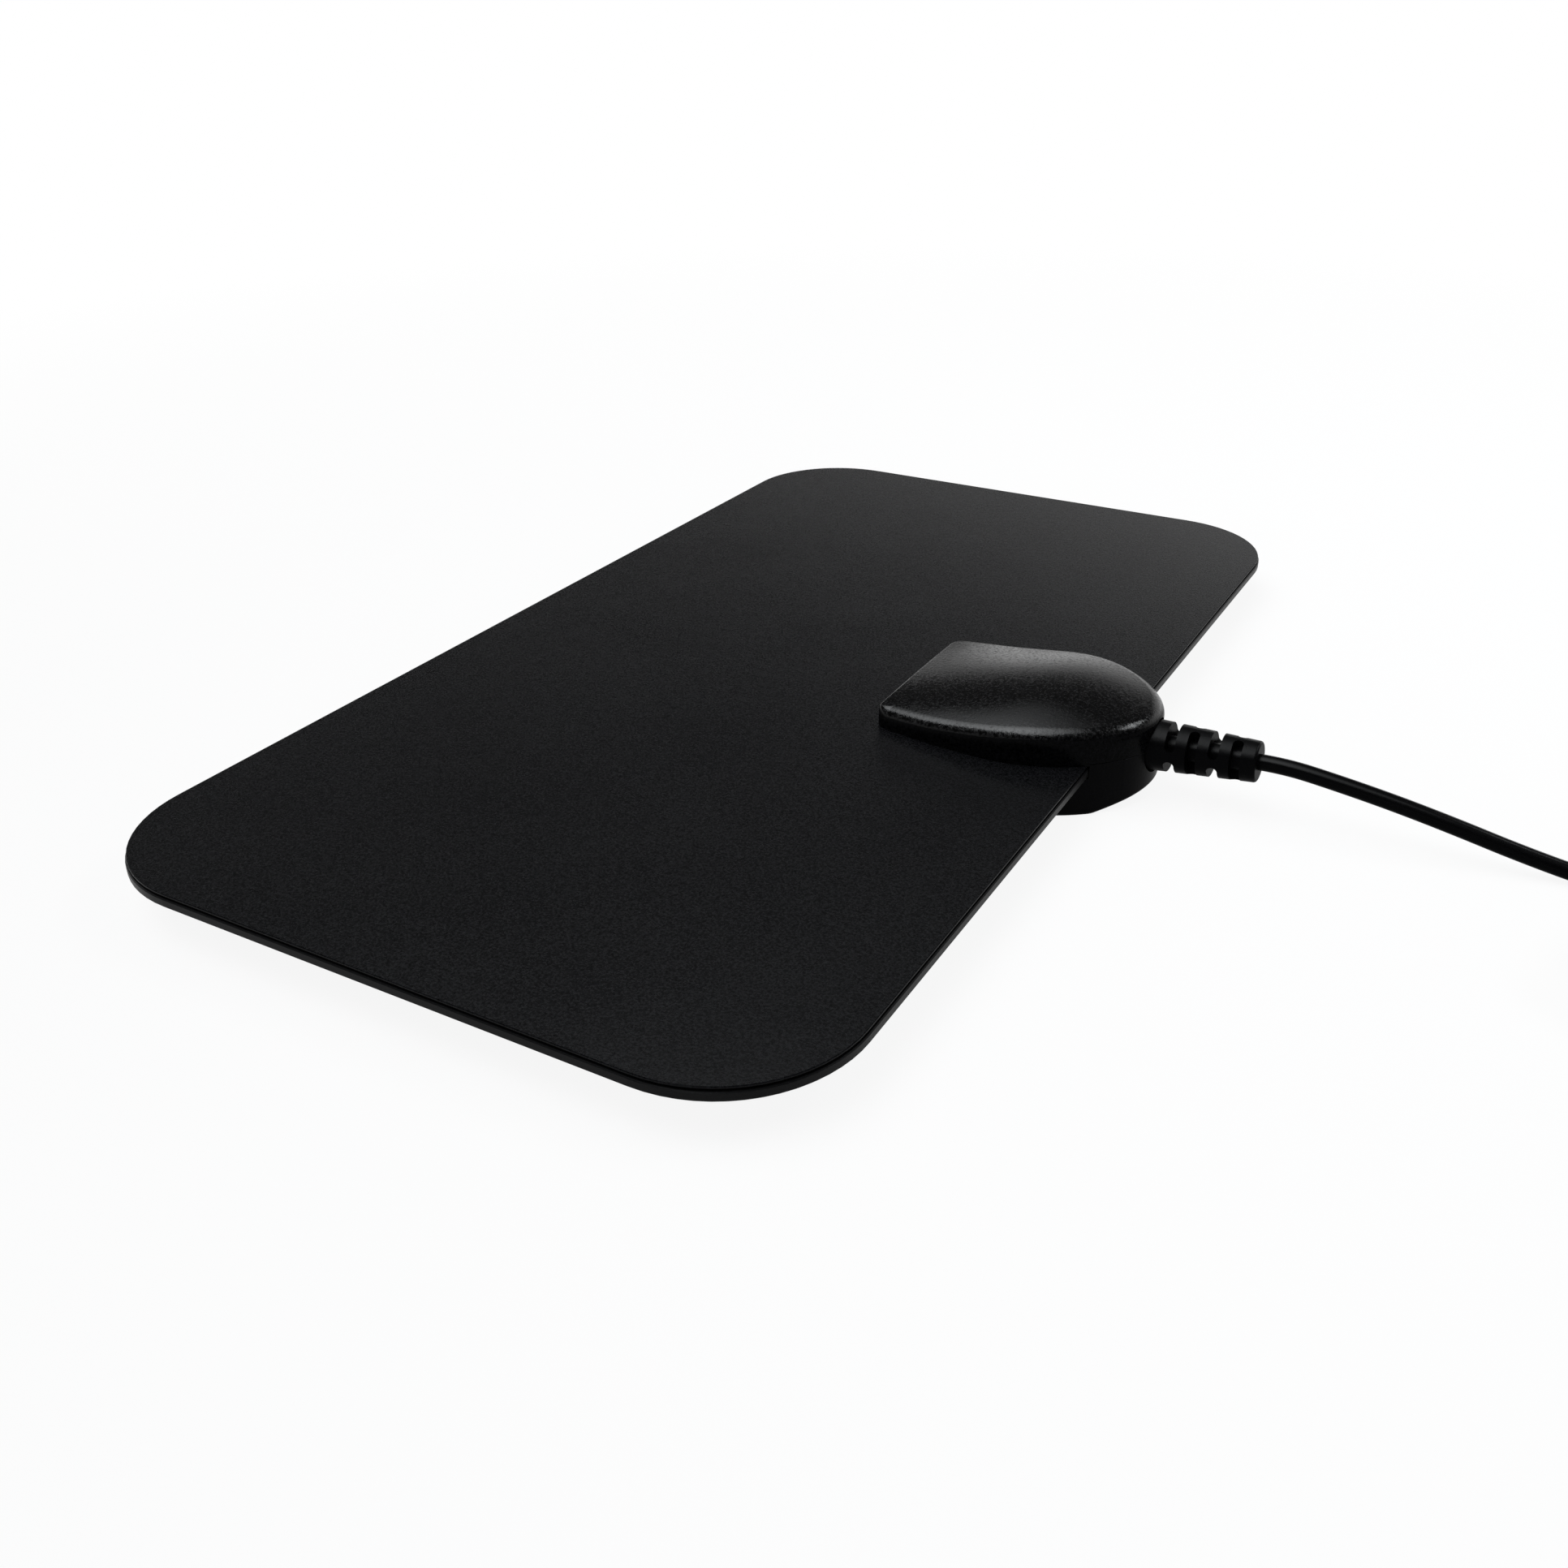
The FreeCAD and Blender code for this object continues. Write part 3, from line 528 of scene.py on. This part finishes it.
@dataclass(frozen=True)
class WorkedMetal(Finish):
    """Bare, plated or rolled metal with fine lines and a thin tarnish.

    Attributes:
        name: The material's name.
        colour: Its colour.
        roughness: Its mean roughness.
        lie: Which way its lines run.
        line_size: The width of its lines in metres.
        tarnish: How dark its tarnish is.
        stain_scale: How many lines wide a patch of tarnish is.
        line_rough: How much the lines change the roughness.
        stain_rough: How much the tarnish changes the roughness.
        line_depth: The depth of its lines in metres.
    """

    name: str
    colour: Colour
    roughness: float
    lie: Lie = Lie.NONE
    line_size: float = 0.15 * MM
    tarnish: float = 0.25
    stain_scale: float = 20.0
    line_rough: float = 0.16
    stain_rough: float = 0.1
    line_depth: float = 0.01 * MM

    def paint(self, graph: Graph) -> None:
        """Lines as bump and roughness, tarnish in the colour and roughness."""
        place = graph.place()
        lines = graph.noise(graph.stretched(place, self.lie.value), self.line_size, detail=2.0)
        stain = graph.noise(place, self.stain_scale * self.line_size, detail=3.0)
        dull = tuple(channel * (1 - self.tarnish) for channel in self.colour)
        lined = self.roughness + (lines - NOISE_MEAN) * self.line_rough
        graph.skin({
            "Base Color": graph.mix(stain, self.colour, dull),
            "Metallic": 1.0,
            "Roughness": lined + (stain - NOISE_MEAN) * self.stain_rough,
            "Normal": graph.bump(lines, self.line_depth),
        })


@dataclass(frozen=True)
class CircuitBoard(Finish):
    """Solder mask over copper tracks.

    Attributes:
        name: The material's name.
        mask: The colour of the mask on bare board.
        track: The colour of the mask over copper.
        pitch: The distance between tracks in metres.
        sway_scale: How many pitches long the tracks' wandering is.
        track_start: Where a track's edge lies across the pitch.
        track_gain: How sharp that edge is.
        track_share: How much of the height is track, and the rest weave.
        height: The height of both in metres.
        weave_size: The size of the board's weave in metres.
        roughness: The mask's least roughness.
        weave_rough: How much the weave adds to it.
    """

    name: str
    mask: Colour
    track: Colour
    pitch: float = 2.4 * MM
    sway_scale: float = 6.0
    track_start: float = 0.26
    track_gain: float = 30.0
    track_share: float = 0.8
    height: float = 0.035 * MM
    weave_size: float = 0.4 * MM
    roughness: float = 0.28
    weave_rough: float = 0.15

    def paint(self, graph: Graph) -> None:
        """Straight tracks that wander a little, a touch higher than the board."""
        place = graph.place()
        _, across, _ = graph.axes(place)
        sway = graph.noise(place, self.sway_scale * self.pitch, detail=0.0)
        wave = (across + (sway - NOISE_MEAN) * self.pitch).folded(self.pitch / 2)
        tracks = (wave / self.pitch).ramp(self.track_start, self.track_gain)
        weave = graph.noise(graph.stretched(place, (1.0, 1.0, 0.0)), self.weave_size, detail=1.0)
        relief = tracks * self.track_share + weave * (1 - self.track_share)
        graph.skin({
            "Base Color": graph.mix(tracks, self.mask, self.track),
            "Roughness": self.roughness + weave * self.weave_rough,
            "Normal": graph.bump(relief, self.height),
        })


@dataclass(frozen=True)
class BakedCeramic(Finish):
    """Fired or sintered stuff with a dry, pitted face.

    Attributes:
        name: The material's name.
        colour: Its colour.
        roughness: Its roughness.
        pit_size: The size of its pits in metres.
        pit_depth: The depth of its pits in metres.
        pit_gain: How steep the pits are.
        pit_painted_shade: The colour in the pits, as a share of the colour, painted shade in the
            recesses.
        pit_rough: How much rougher the pits are.
    """

    name: str
    colour: Colour
    roughness: float
    pit_size: float = 0.3 * MM
    pit_depth: float = 0.03 * MM
    pit_gain: float = 1.4
    pit_painted_shade: float = 0.55
    pit_rough: float = 0.15

    def paint(self, graph: Graph) -> None:
        """Pits as bump, and painted shade that darkens the colour in them."""
        place = graph.place()
        pits = (graph.cells(place, self.pit_size) * self.pit_gain).at_most(1.0)
        # Painted shade: the colour darkens in the pits, where shade would fall.
        dark = tuple(channel * self.pit_painted_shade for channel in self.colour)
        graph.skin({
            "Base Color": graph.mix(pits, dark, self.colour),
            "Roughness": self.roughness + (1 - pits) * self.pit_rough,
            "Normal": graph.bump(pits, self.pit_depth),
        })


@dataclass(frozen=True)
class MilkyPlastic(Finish):
    """Smooth plastic film or insulation with a slightly cloudy colour.

    Attributes:
        name: The material's name.
        colour: Its colour.
        tint: The colour of its clouds.
        roughness: Its roughness.
        cloud_size: The size of its clouds in metres.
        cloud_depth: The depth of its unevenness in metres.
        cloud_rough: How much the clouds change the roughness.
    """

    name: str
    colour: Colour
    tint: Colour
    roughness: float
    cloud_size: float = 2.5 * MM
    cloud_depth: float = 0.02 * MM
    cloud_rough: float = 0.15

    def paint(self, graph: Graph) -> None:
        """Cloudy colour with a waxy face."""
        cloud = graph.noise(graph.place(), self.cloud_size, detail=3.0)
        graph.skin({
            "Base Color": graph.mix(cloud, self.colour, self.tint),
            "Roughness": self.roughness + (cloud - NOISE_MEAN) * self.cloud_rough,
            "Normal": graph.bump(cloud, self.cloud_depth),
        })


# The side glosses below paint shade: the sides of each piece mirror less than its top, so walls and edges
# show less of the white floor.
PANEL_BLACK = GrainedPlastic(
    name="panel_black",
    colour=(0.0041, 0.0042, 0.0049),
    roughness=0.26,
    grain_size=0.55 * MM,
    grain_depth=0.03 * MM,
    gloss=0.46,
    painted_shade_side_gloss=0.04,
    fleck=0.7,
    speckle=0.48,
    level=(0.86, 0.98),
)
RIM_BLACK = GrainedPlastic(
    name="rim_black",
    colour=(0.0035, 0.0035, 0.0038),
    roughness=0.36,
    grain_size=0.5 * MM,
    grain_depth=0.02 * MM,
    gloss=0.1,
    painted_shade_side_gloss=0.06,
)
HOUSING_BLACK = GrainedPlastic(
    name="housing_black",
    colour=(0.0016, 0.0016, 0.0018),
    roughness=0.2,
    grain_size=0.7 * MM,
    grain_depth=0.05 * MM,
    gloss=0.45,
    painted_shade_side_gloss=0.02,
    fleck=0.9,
    speckle=1.1,
    mottle=0.03,
    roll=2.5 * MM,
    dip=0.6 * MM,
)
LOWER_BLACK = GrainedPlastic(
    name="lower_black",
    colour=(0.0014, 0.0014, 0.0016),
    roughness=0.32,
    grain_size=0.9 * MM,
    grain_depth=0.03 * MM,
    gloss=0.05,
    painted_shade_side_gloss=0.02,
)
RELIEF_BLACK = SoftMoulding(
    name="relief_black",
    colour=(0.0016, 0.0016, 0.0018),
    roughness=0.36,
    ripple_size=0.8 * MM,
    ripple_depth=0.04 * MM,
    gloss=0.1,
    painted_shade_side_gloss=0.01,
)
JACKET_BLACK = SoftMoulding(
    name="jacket_black",
    colour=(0.0016, 0.0016, 0.0018),
    roughness=0.24,
    ripple_size=0.9 * MM,
    ripple_depth=0.012 * MM,
    gloss=0.12,
    painted_shade_side_gloss=0.012,
)
GRIP_BLACK = SoftMoulding("grip_black", (0.004, 0.004, 0.0042), roughness=0.42, gloss=0.3, painted_shade_side_gloss=0.1)
TIE_BLACK = SoftMoulding(
    name="tie_black",
    colour=(0.006, 0.006, 0.0063),
    roughness=0.55,
    ripple_size=0.6 * MM,
    ripple_depth=0.03 * MM,
)
NICKEL = WorkedMetal("nickel_plate", (0.66, 0.63, 0.58), roughness=0.22, lie=Lie.ALONG_Y)
ZINC = WorkedMetal("zinc_plate", (0.58, 0.59, 0.62), roughness=0.34)
FOIL = WorkedMetal(
    name="rolled_foil",
    colour=(0.82, 0.82, 0.83),
    roughness=0.24,
    lie=Lie.ALONG_Y,
    line_size=0.2 * MM,
    tarnish=0.12,
)
BRONZE = WorkedMetal("spring_bronze", (0.76, 0.52, 0.26), roughness=0.28, lie=Lie.ALONG_X)
ENAMEL = WorkedMetal(
    name="enamelled_copper",
    colour=(0.72, 0.26, 0.11),
    roughness=0.26,
    line_size=0.1 * MM,
    tarnish=0.35,
)
TINNED = WorkedMetal(
    name="tinned_strands",
    colour=(0.74, 0.73, 0.7),
    roughness=0.36,
    lie=Lie.ALONG_X,
    line_size=0.12 * MM,
)
BOARD_GREEN = CircuitBoard("board_green", mask=(0.012, 0.09, 0.035), track=(0.03, 0.19, 0.07))
FERRITE = BakedCeramic("ferrite_grey", (0.05, 0.05, 0.055), roughness=0.55)
CERAMIC = BakedCeramic("ceramic_tan", (0.36, 0.25, 0.15), roughness=0.4, pit_size=0.2 * MM)
AMBER_FILM = MilkyPlastic(
    name="amber_film",
    colour=(0.5, 0.3, 0.09),
    tint=(0.42, 0.24, 0.06),
    roughness=0.25,
)
WHITE_INSULATION = MilkyPlastic(
    name="white_insulation",
    colour=(0.8, 0.79, 0.75),
    tint=(0.7, 0.68, 0.6),
    roughness=0.35,
)


def dress_node(node: str, finish: Finish) -> None:
    """Give a solid of the frame its finish.

    Args:
        node: The solid's name.
        finish: What it is made of.
    """
    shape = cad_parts[node]
    shape.data.materials.clear()
    shape.data.materials.append(finish.material())
    log.info("%s dressed as %s", node, finish.name)


@dataclass
class Panel:
    """The flat panel: two covers with the film and the foil elements between them."""

    front: Finish = PANEL_BLACK
    back: Finish = RIM_BLACK
    film: Finish = AMBER_FILM
    foil: Finish = FOIL

    def dress(self) -> None:
        """Give each layer its finish."""
        dress_node("front_cover", self.front)
        dress_node("back_cover", self.back)
        dress_node("antenna_film", self.film)
        dress_node("foil_elements", self.foil)


@dataclass
class Housing:
    """The domed housing with its screws and strain relief."""

    upper: Finish = HOUSING_BLACK
    lower: Finish = LOWER_BLACK
    screws: Finish = ZINC
    relief: Finish = RELIEF_BLACK

    def dress(self) -> None:
        """Give each piece its finish."""
        dress_node("upper_shell", self.upper)
        dress_node("lower_shell", self.lower)
        dress_node("housing_screws", self.screws)
        dress_node("strain_relief", self.relief)


@dataclass
class FeedBoard:
    """The matching board in the housing, with its parts, its springs and the cord's end."""

    board: Finish = BOARD_GREEN
    core: Finish = FERRITE
    winding: Finish = ENAMEL
    chips: Finish = CERAMIC
    springs: Finish = BRONZE
    jacket: Finish = JACKET_BLACK
    insulation: Finish = WHITE_INSULATION
    strands: Finish = TINNED

    def dress(self) -> None:
        """Give each piece its finish."""
        dress_node("matching_board", self.board)
        dress_node("balun_core", self.core)
        dress_node("balun_winding", self.winding)
        dress_node("board_chips", self.chips)
        dress_node("contact_springs", self.springs)
        dress_node("cord_stub", self.jacket)
        dress_node("cord_core", self.insulation)
        dress_node("cord_braid", self.strands)


@dataclass
class AerialPlug:
    """The push-on plug at the far end of the cord, and the tie round the coil."""

    grip: Finish = GRIP_BLACK
    contact: Finish = NICKEL
    insulator: Finish = WHITE_INSULATION
    tie: Finish = TIE_BLACK

    def finishes(self) -> dict[str, Finish]:
        """The finish of each solid that lies on the cord.

        Returns:
            The finishes by the solids' names.
        """
        return {
            "plug_grip": self.grip,
            "plug_sleeve": self.contact,
            "plug_insulator": self.insulator,
            "plug_pin": self.contact,
            "coil_tie": self.tie,
        }

    def dress(self) -> None:
        """Give each piece its finish."""
        for node, finish in self.finishes().items():
            dress_node(node, finish)


@dataclass
class Cord:
    """The coax cord: a free lead, a neat coil of the spare length, and a tail to the plug.

    Attributes:
        diameter: The jacket's diameter in metres.
        length: The cord's real length in metres. It is not used.
        lead: The route from the strain relief to the coil, in millimetres.
        tail: The route from the coil to the plug, in millimetres.
        coil_centre: The coil's middle on the floor, in millimetres.
        outer_radius: The radius of a layer's widest turn, in millimetres.
        inner_radius: The radius of a layer's narrowest turn, in millimetres.
        first_height: The height of the lowest layer, in millimetres.
        layer_height: How far each layer lies above the one below, in millimetres.
        layers: How many layers the coil has.
        turns_per_layer: How many turns each layer has.
        points_per_turn: How many control points each turn has.
        climb_turns: The part of a turn over which a layer climbs to the next.
        order: The curve's order, where 3 is quadratic.
        steps: How many pieces the curve has between two control points.
        roundness: How finely the jacket is rounded.
        jacket: The jacket's finish.
    """

    diameter: float = 4.0 * MM
    length: float = 1.78
    lead: tuple[Point, ...] = (
        (35.35, 0.0, 14.75),
        (41.54, 0.0, 15.12),
        (52.5, 0.3, 13.8),
        (66.0, 1.0, 11.6),
        (79.5, 1.8, 8.8),
        (94.0, 3.2, 5.1),
        (108.5, 4.4, 2.2),
        (121.0, 4.0, 2.0),
        (130.2, 2.0, 2.8),
    )
    tail: tuple[Point, ...] = (
        (169.9, -37.8, 14.6),
        (170.3, -48.0, 12.4),
        (170.0, -60.0, 6.4),
        (170.0, -72.0, 6.4),
    )
    coil_centre: tuple[float, float] = (141.0, -27.0)
    outer_radius: float = 28.9
    inner_radius: float = 17.1
    first_height: float = 2.8
    layer_height: float = 4.1
    layers: int = 4
    turns_per_layer: float = 2.8125
    points_per_turn: int = 16
    climb_turns: float = 0.15
    order: int = 3
    steps: int = 8
    roundness: int = 6
    jacket: Finish = JACKET_BLACK

    def coil(self) -> list[Point]:
        """The coil's control points, wound clockwise from its +Y side to its +X side.

        Returns:
            The points in millimetres.
        """
        spans = round(self.layers * self.turns_per_layer * self.points_per_turn)
        # A quadratic curve runs inside its control points: 1/8, 6/8 and 1/8 of three make a mid-span.
        pull = 0.75 + 0.25 * math.cos(math.tau / self.points_per_turn)
        climb = self.climb_turns / self.turns_per_layer
        points = []
        for step in range(spans + 1):
            turn = step / self.points_per_turn
            layer = min(int(turn / self.turns_per_layer), self.layers - 1)
            share = turn / self.turns_per_layer - layer
            inward = share if layer % 2 == 0 else 1 - share
            radius = self.outer_radius + (self.inner_radius - self.outer_radius) * inward
            rise = max(0.0, 1 - (1 - share) / climb) if layer < self.layers - 1 else 0.0
            angle = math.pi / 2 - math.tau * turn
            points.append((
                self.coil_centre[0] + radius / pull * math.cos(angle),
                self.coil_centre[1] + radius / pull * math.sin(angle),
                self.first_height + self.layer_height * (layer + rise),
            ))
        return points

    def build(self) -> bpy.types.Object:
        """Make the cord as one smooth curve.

        Returns:
            The cord.
        """
        points = [*self.lead, *self.coil(), *self.tail]
        curve = bpy.data.curves.new("coax_cord", "CURVE")
        curve.dimensions = "3D"
        spline = curve.splines.new("NURBS")
        spline.points.add(len(points) - 1)
        for knot, (x, y, z) in zip(spline.points, points):
            knot.co = (x * MM, y * MM, z * MM, 1.0)
        spline.order_u = self.order
        spline.use_endpoint_u = True
        curve.resolution_u = self.steps
        curve.bevel_depth = self.diameter / 2
        curve.bevel_resolution = self.roundness
        curve.use_fill_caps = True
        cord = bpy.data.objects.new("coax_cord", curve)
        bpy.context.scene.collection.objects.link(cord)
        log.info("coax_cord laid through %d points", len(points))
        return cord

    def dress(self, cord: bpy.types.Object) -> None:
        """Give the cord its jacket.

        Args:
            cord: The cord.
        """
        cord.data.materials.append(self.jacket.material())
        log.info("coax_cord dressed as %s", self.jacket.name)

    def declare(self, cord: bpy.types.Object) -> None:
        """Hang the cord on the root body and hide the solids that it stands for.

        Args:
            cord: The cord.
        """
        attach(cord, ROOT_BODY)
        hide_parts("cord_lead", "cord_coil", "cord_tail")


@dataclass(frozen=True)
class Softbox:
    """A rectangular lamp that shines from one place towards another.

    Attributes:
        name: The lamp's name.
        place: Where it hangs, in metres.
        aim: What it points at, in metres.
        size: Its width and length in metres.
        radiance: How bright its face is, seen straight on.
        spread: The full angle at which its face has faded to nothing, in degrees.
    """

    name: str
    place: Point
    aim: Point
    size: tuple[float, float]
    radiance: float
    spread: float = EVEN_SPREAD

    def build(self) -> bpy.types.Object:
        """Hang the lamp.

        Returns:
            The lamp.
        """
        lamp = bpy.data.lights.new(self.name, "AREA")
        lamp.shape = "RECTANGLE"
        lamp.size, lamp.size_y = self.size
        lamp.spread = math.radians(self.spread)
        lamp.energy = self.radiance * self.fading() * math.pi * self.size[0] * self.size[1]
        lamp.color = COOL_WHITE
        made = bpy.data.objects.new(self.name, lamp)
        made.location = self.place
        towards = Vector(self.aim) - Vector(self.place)
        made.rotation_euler = towards.to_track_quat("-Z", "Y").to_euler()
        bpy.context.scene.collection.objects.link(made)
        return made

    def fading(self) -> float:
        """The face's mean brightness over its brightness seen straight on."""
        if self.spread >= EVEN_SPREAD:
            return 1.0
        half = math.radians(self.spread / 2)
        return 1 - half / math.tan(half)


OVERHEAD = Softbox(
    name="overhead",
    place=(-0.28, -0.06, 1.14),
    aim=(0.03, 0.38, 0.18),
    size=(1.6, 1.25),
    radiance=4.8,
    spread=84.0,
)
LEFT_SIDE = Softbox(
    name="left_side",
    place=(-0.3, 0.11, 1.09),
    aim=(0.22, -0.08, 0.13),
    size=(1.5, 1.0),
    radiance=1.1,
    spread=70.0,
)
NOSE_STRIP = Softbox(
    name="far_strip",
    place=(0.67, 0.44, 0.89),
    aim=(0.0, 0.0, 0.02),
    size=(0.6, 0.3),
    radiance=5.0,
)


@dataclass
class Studio:
    """The white floor, the lights and the camera.

    Attributes:
        floor_reach: Half the floor's width in metres.
        floor_colour: The floor's colour.
        shadow_share: How much of the floor's own light the camera sees near the part.
        shadow_near: The distance from the origin where that share begins to fade, in metres.
        shadow_far: The distance from the origin where the floor is plain white, in metres.
        camera_place: Where the camera stands, in millimetres.
        camera_target: What it looks at, in millimetres.
        camera_roll: How far it leans, in degrees.
        lens: Its focal length in millimetres, on a sensor of the given width.
        sensor: The sensor's width in millimetres.
        nearest: How near to the camera things still show, in metres.
        lamps: The softboxes.
        screen: How bright the slanting screen on the far side is.
        screen_start: How far towards the far side a direction looks where the screen begins.
        screen_gain: How fast the screen comes in from there.
        screen_middle: How high the screen stands at its middle, as a share of the sky's height.
        screen_slant: How much higher it stands towards the cord's side.
        screen_top: How high it stands at its higher end, as a share of the sky's height.
        screen_edge: How soft its upper edge is, as a share of the sky's height.
        backdrop: How bright the pale backdrop round the floor is.
        backdrop_low: How high it stands on the far side, as a share of the sky's height.
        backdrop_rise: How much higher it stands on the near side.
        backdrop_turn: How fast it rises from the far side to the near side.
        backdrop_edge: How soft its upper edge is, as a share of the sky's height.
        ceiling: How bright the rest of the room is.
    """

    floor_reach: float = 20.0
    floor_colour: Colour = (0.94, 0.94, 0.94)
    shadow_share: float = 0.1
    shadow_near: float = 0.3
    shadow_far: float = 0.8
    camera_place: Point = (95.81, -332.01, 184.51)
    camera_target: Point = (-59.09, -62.1, 13.6)
    camera_roll: float = -0.45
    lens: float = 34.925
    sensor: float = 36.0
    nearest: float = 0.01
    lamps: tuple[Softbox, ...] = (OVERHEAD, LEFT_SIDE, NOSE_STRIP)
    screen: float = 0.72
    screen_start: float = 0.3
    screen_gain: float = 3.0
    screen_middle: float = 0.378
    screen_slant: float = 0.4
    screen_top: float = 0.39
    screen_edge: float = 0.16
    backdrop: float = 1.0
    backdrop_low: float = 0.15
    backdrop_rise: float = 0.17
    backdrop_turn: float = 1.5
    backdrop_edge: float = 0.06
    ceiling: float = 0.05

    def lay_floor(self) -> None:
        """Lay the floor, which the camera sees as white with a faint shadow."""
        quarters = ((-1, -1), (1, -1), (1, 1), (-1, 1))
        corners = [(x * self.floor_reach, y * self.floor_reach, 0.0) for x, y in quarters]
        mesh = bpy.data.meshes.new("studio_floor")
        mesh.from_pydata(corners, [], [(0, 1, 2, 3)])
        floor = bpy.data.objects.new("studio_floor", mesh)
        bpy.context.scene.collection.objects.link(floor)
        mesh.materials.append(self.floor_material())

    def floor_material(self) -> bpy.types.Material:
        """The floor's material.

        Returns:
            A diffuse floor that is white to the camera away from the part.
        """
        made = bpy.data.materials.new("studio_floor")
        made.use_nodes = True
        graph = Graph(made.node_tree)
        away = graph.field("ShaderNodeVectorMath", "Value", {"operation": "LENGTH"}, {0: graph.place()})
        fade = away.between(self.shadow_near, self.shadow_far)
        share = self.plainly_seen(graph) * (1 - (1 - fade) * self.shadow_share)
        paper = graph.field("ShaderNodeBsdfDiffuse", 0, None, {"Color": (*self.floor_colour, 1.0)})
        white = graph.field("ShaderNodeEmission", 0, None, {"Color": (*WHITE, 1.0), "Strength": 1.0})
        surface = graph.field("ShaderNodeMixShader", 0, None, {0: share, 1: paper, 2: white})
        graph.node("ShaderNodeOutputMaterial", None, {"Surface": surface})
        return made

    @staticmethod
    def plainly_seen(graph: Graph) -> Field:
        """1 to the camera, to mirrors and through glass, else 0.

        Args:
            graph: The graph that asks.

        Returns:
            The field.
        """
        path = graph.node("ShaderNodeLightPath")
        names = ("Is Camera Ray", "Is Glossy Ray", "Is Transmission Ray")
        camera, glossy, through = [Field(graph, path.outputs[name]) for name in names]
        return (camera + glossy + through).at_most(1.0)

    def light(self) -> None:
        """Hang the softboxes and fill the room.

        The room has a low pale backdrop all round and a slanting screen on the far side, under a dim
        ceiling. The black faces mirror them.
        """
        for lamp in self.lamps:
            lamp.build()
        world = bpy.data.worlds.new("studio_room")
        bpy.context.scene.world = world
        world.use_nodes = True
        graph = Graph(world.node_tree)
        across, along, height = graph.axes(graph.field("ShaderNodeTexCoord", "Generated"))
        facing = along.ramp(self.screen_start, self.screen_gain)
        screen_top = (across * self.screen_slant + self.screen_middle).at_most(self.screen_top)
        screen = facing * height.below(screen_top, self.screen_edge) * self.screen
        nearness = (HALF - along * self.backdrop_turn).clamped()
        backdrop_top = self.backdrop_low + nearness * self.backdrop_rise
        backdrop = height.below(backdrop_top, self.backdrop_edge) * self.backdrop
        glow = self.ceiling + screen.at_least(backdrop) * (1 - self.ceiling)
        room = graph.field("ShaderNodeBackground", 0, None, {"Color": graph.mix(glow, BLACK, WHITE)})
        graph.node("ShaderNodeOutputWorld", None, {"Surface": room})

    def place_camera(self) -> None:
        """Stand the camera where the photograph was taken."""
        lens = bpy.data.cameras.new("photo_camera")
        lens.sensor_width = self.sensor
        lens.lens = self.lens
        lens.clip_start = self.nearest
        camera = bpy.data.objects.new("photo_camera", lens)
        place = Vector(self.camera_place) * MM
        towards = Vector(self.camera_target) * MM - place
        lean = Quaternion(SIGHT_AXIS, math.radians(self.camera_roll))
        camera.location = place
        camera.rotation_mode = "QUATERNION"
        camera.rotation_quaternion = towards.to_track_quat("-Z", "Y") @ lean
        bpy.context.scene.collection.objects.link(camera)
        bpy.context.scene.camera = camera


def main() -> None:
    """Build the studio and dress the antenna, piece by piece."""
    logging.basicConfig(level=logging.INFO, format="%(name)s: %(message)s")
    bpy.context.scene.view_settings.view_transform = "Standard"
    studio = Studio()
    studio.place_camera()
    studio.lay_floor()
    studio.light()
    plug = AerialPlug()
    cord = Cord()
    laid = cord.build()
    cord.dress(laid)
    Panel().dress()
    Housing().dress()
    FeedBoard().dress()
    plug.dress()
    cord.declare(laid)


if __name__ == "__main__":
    main()
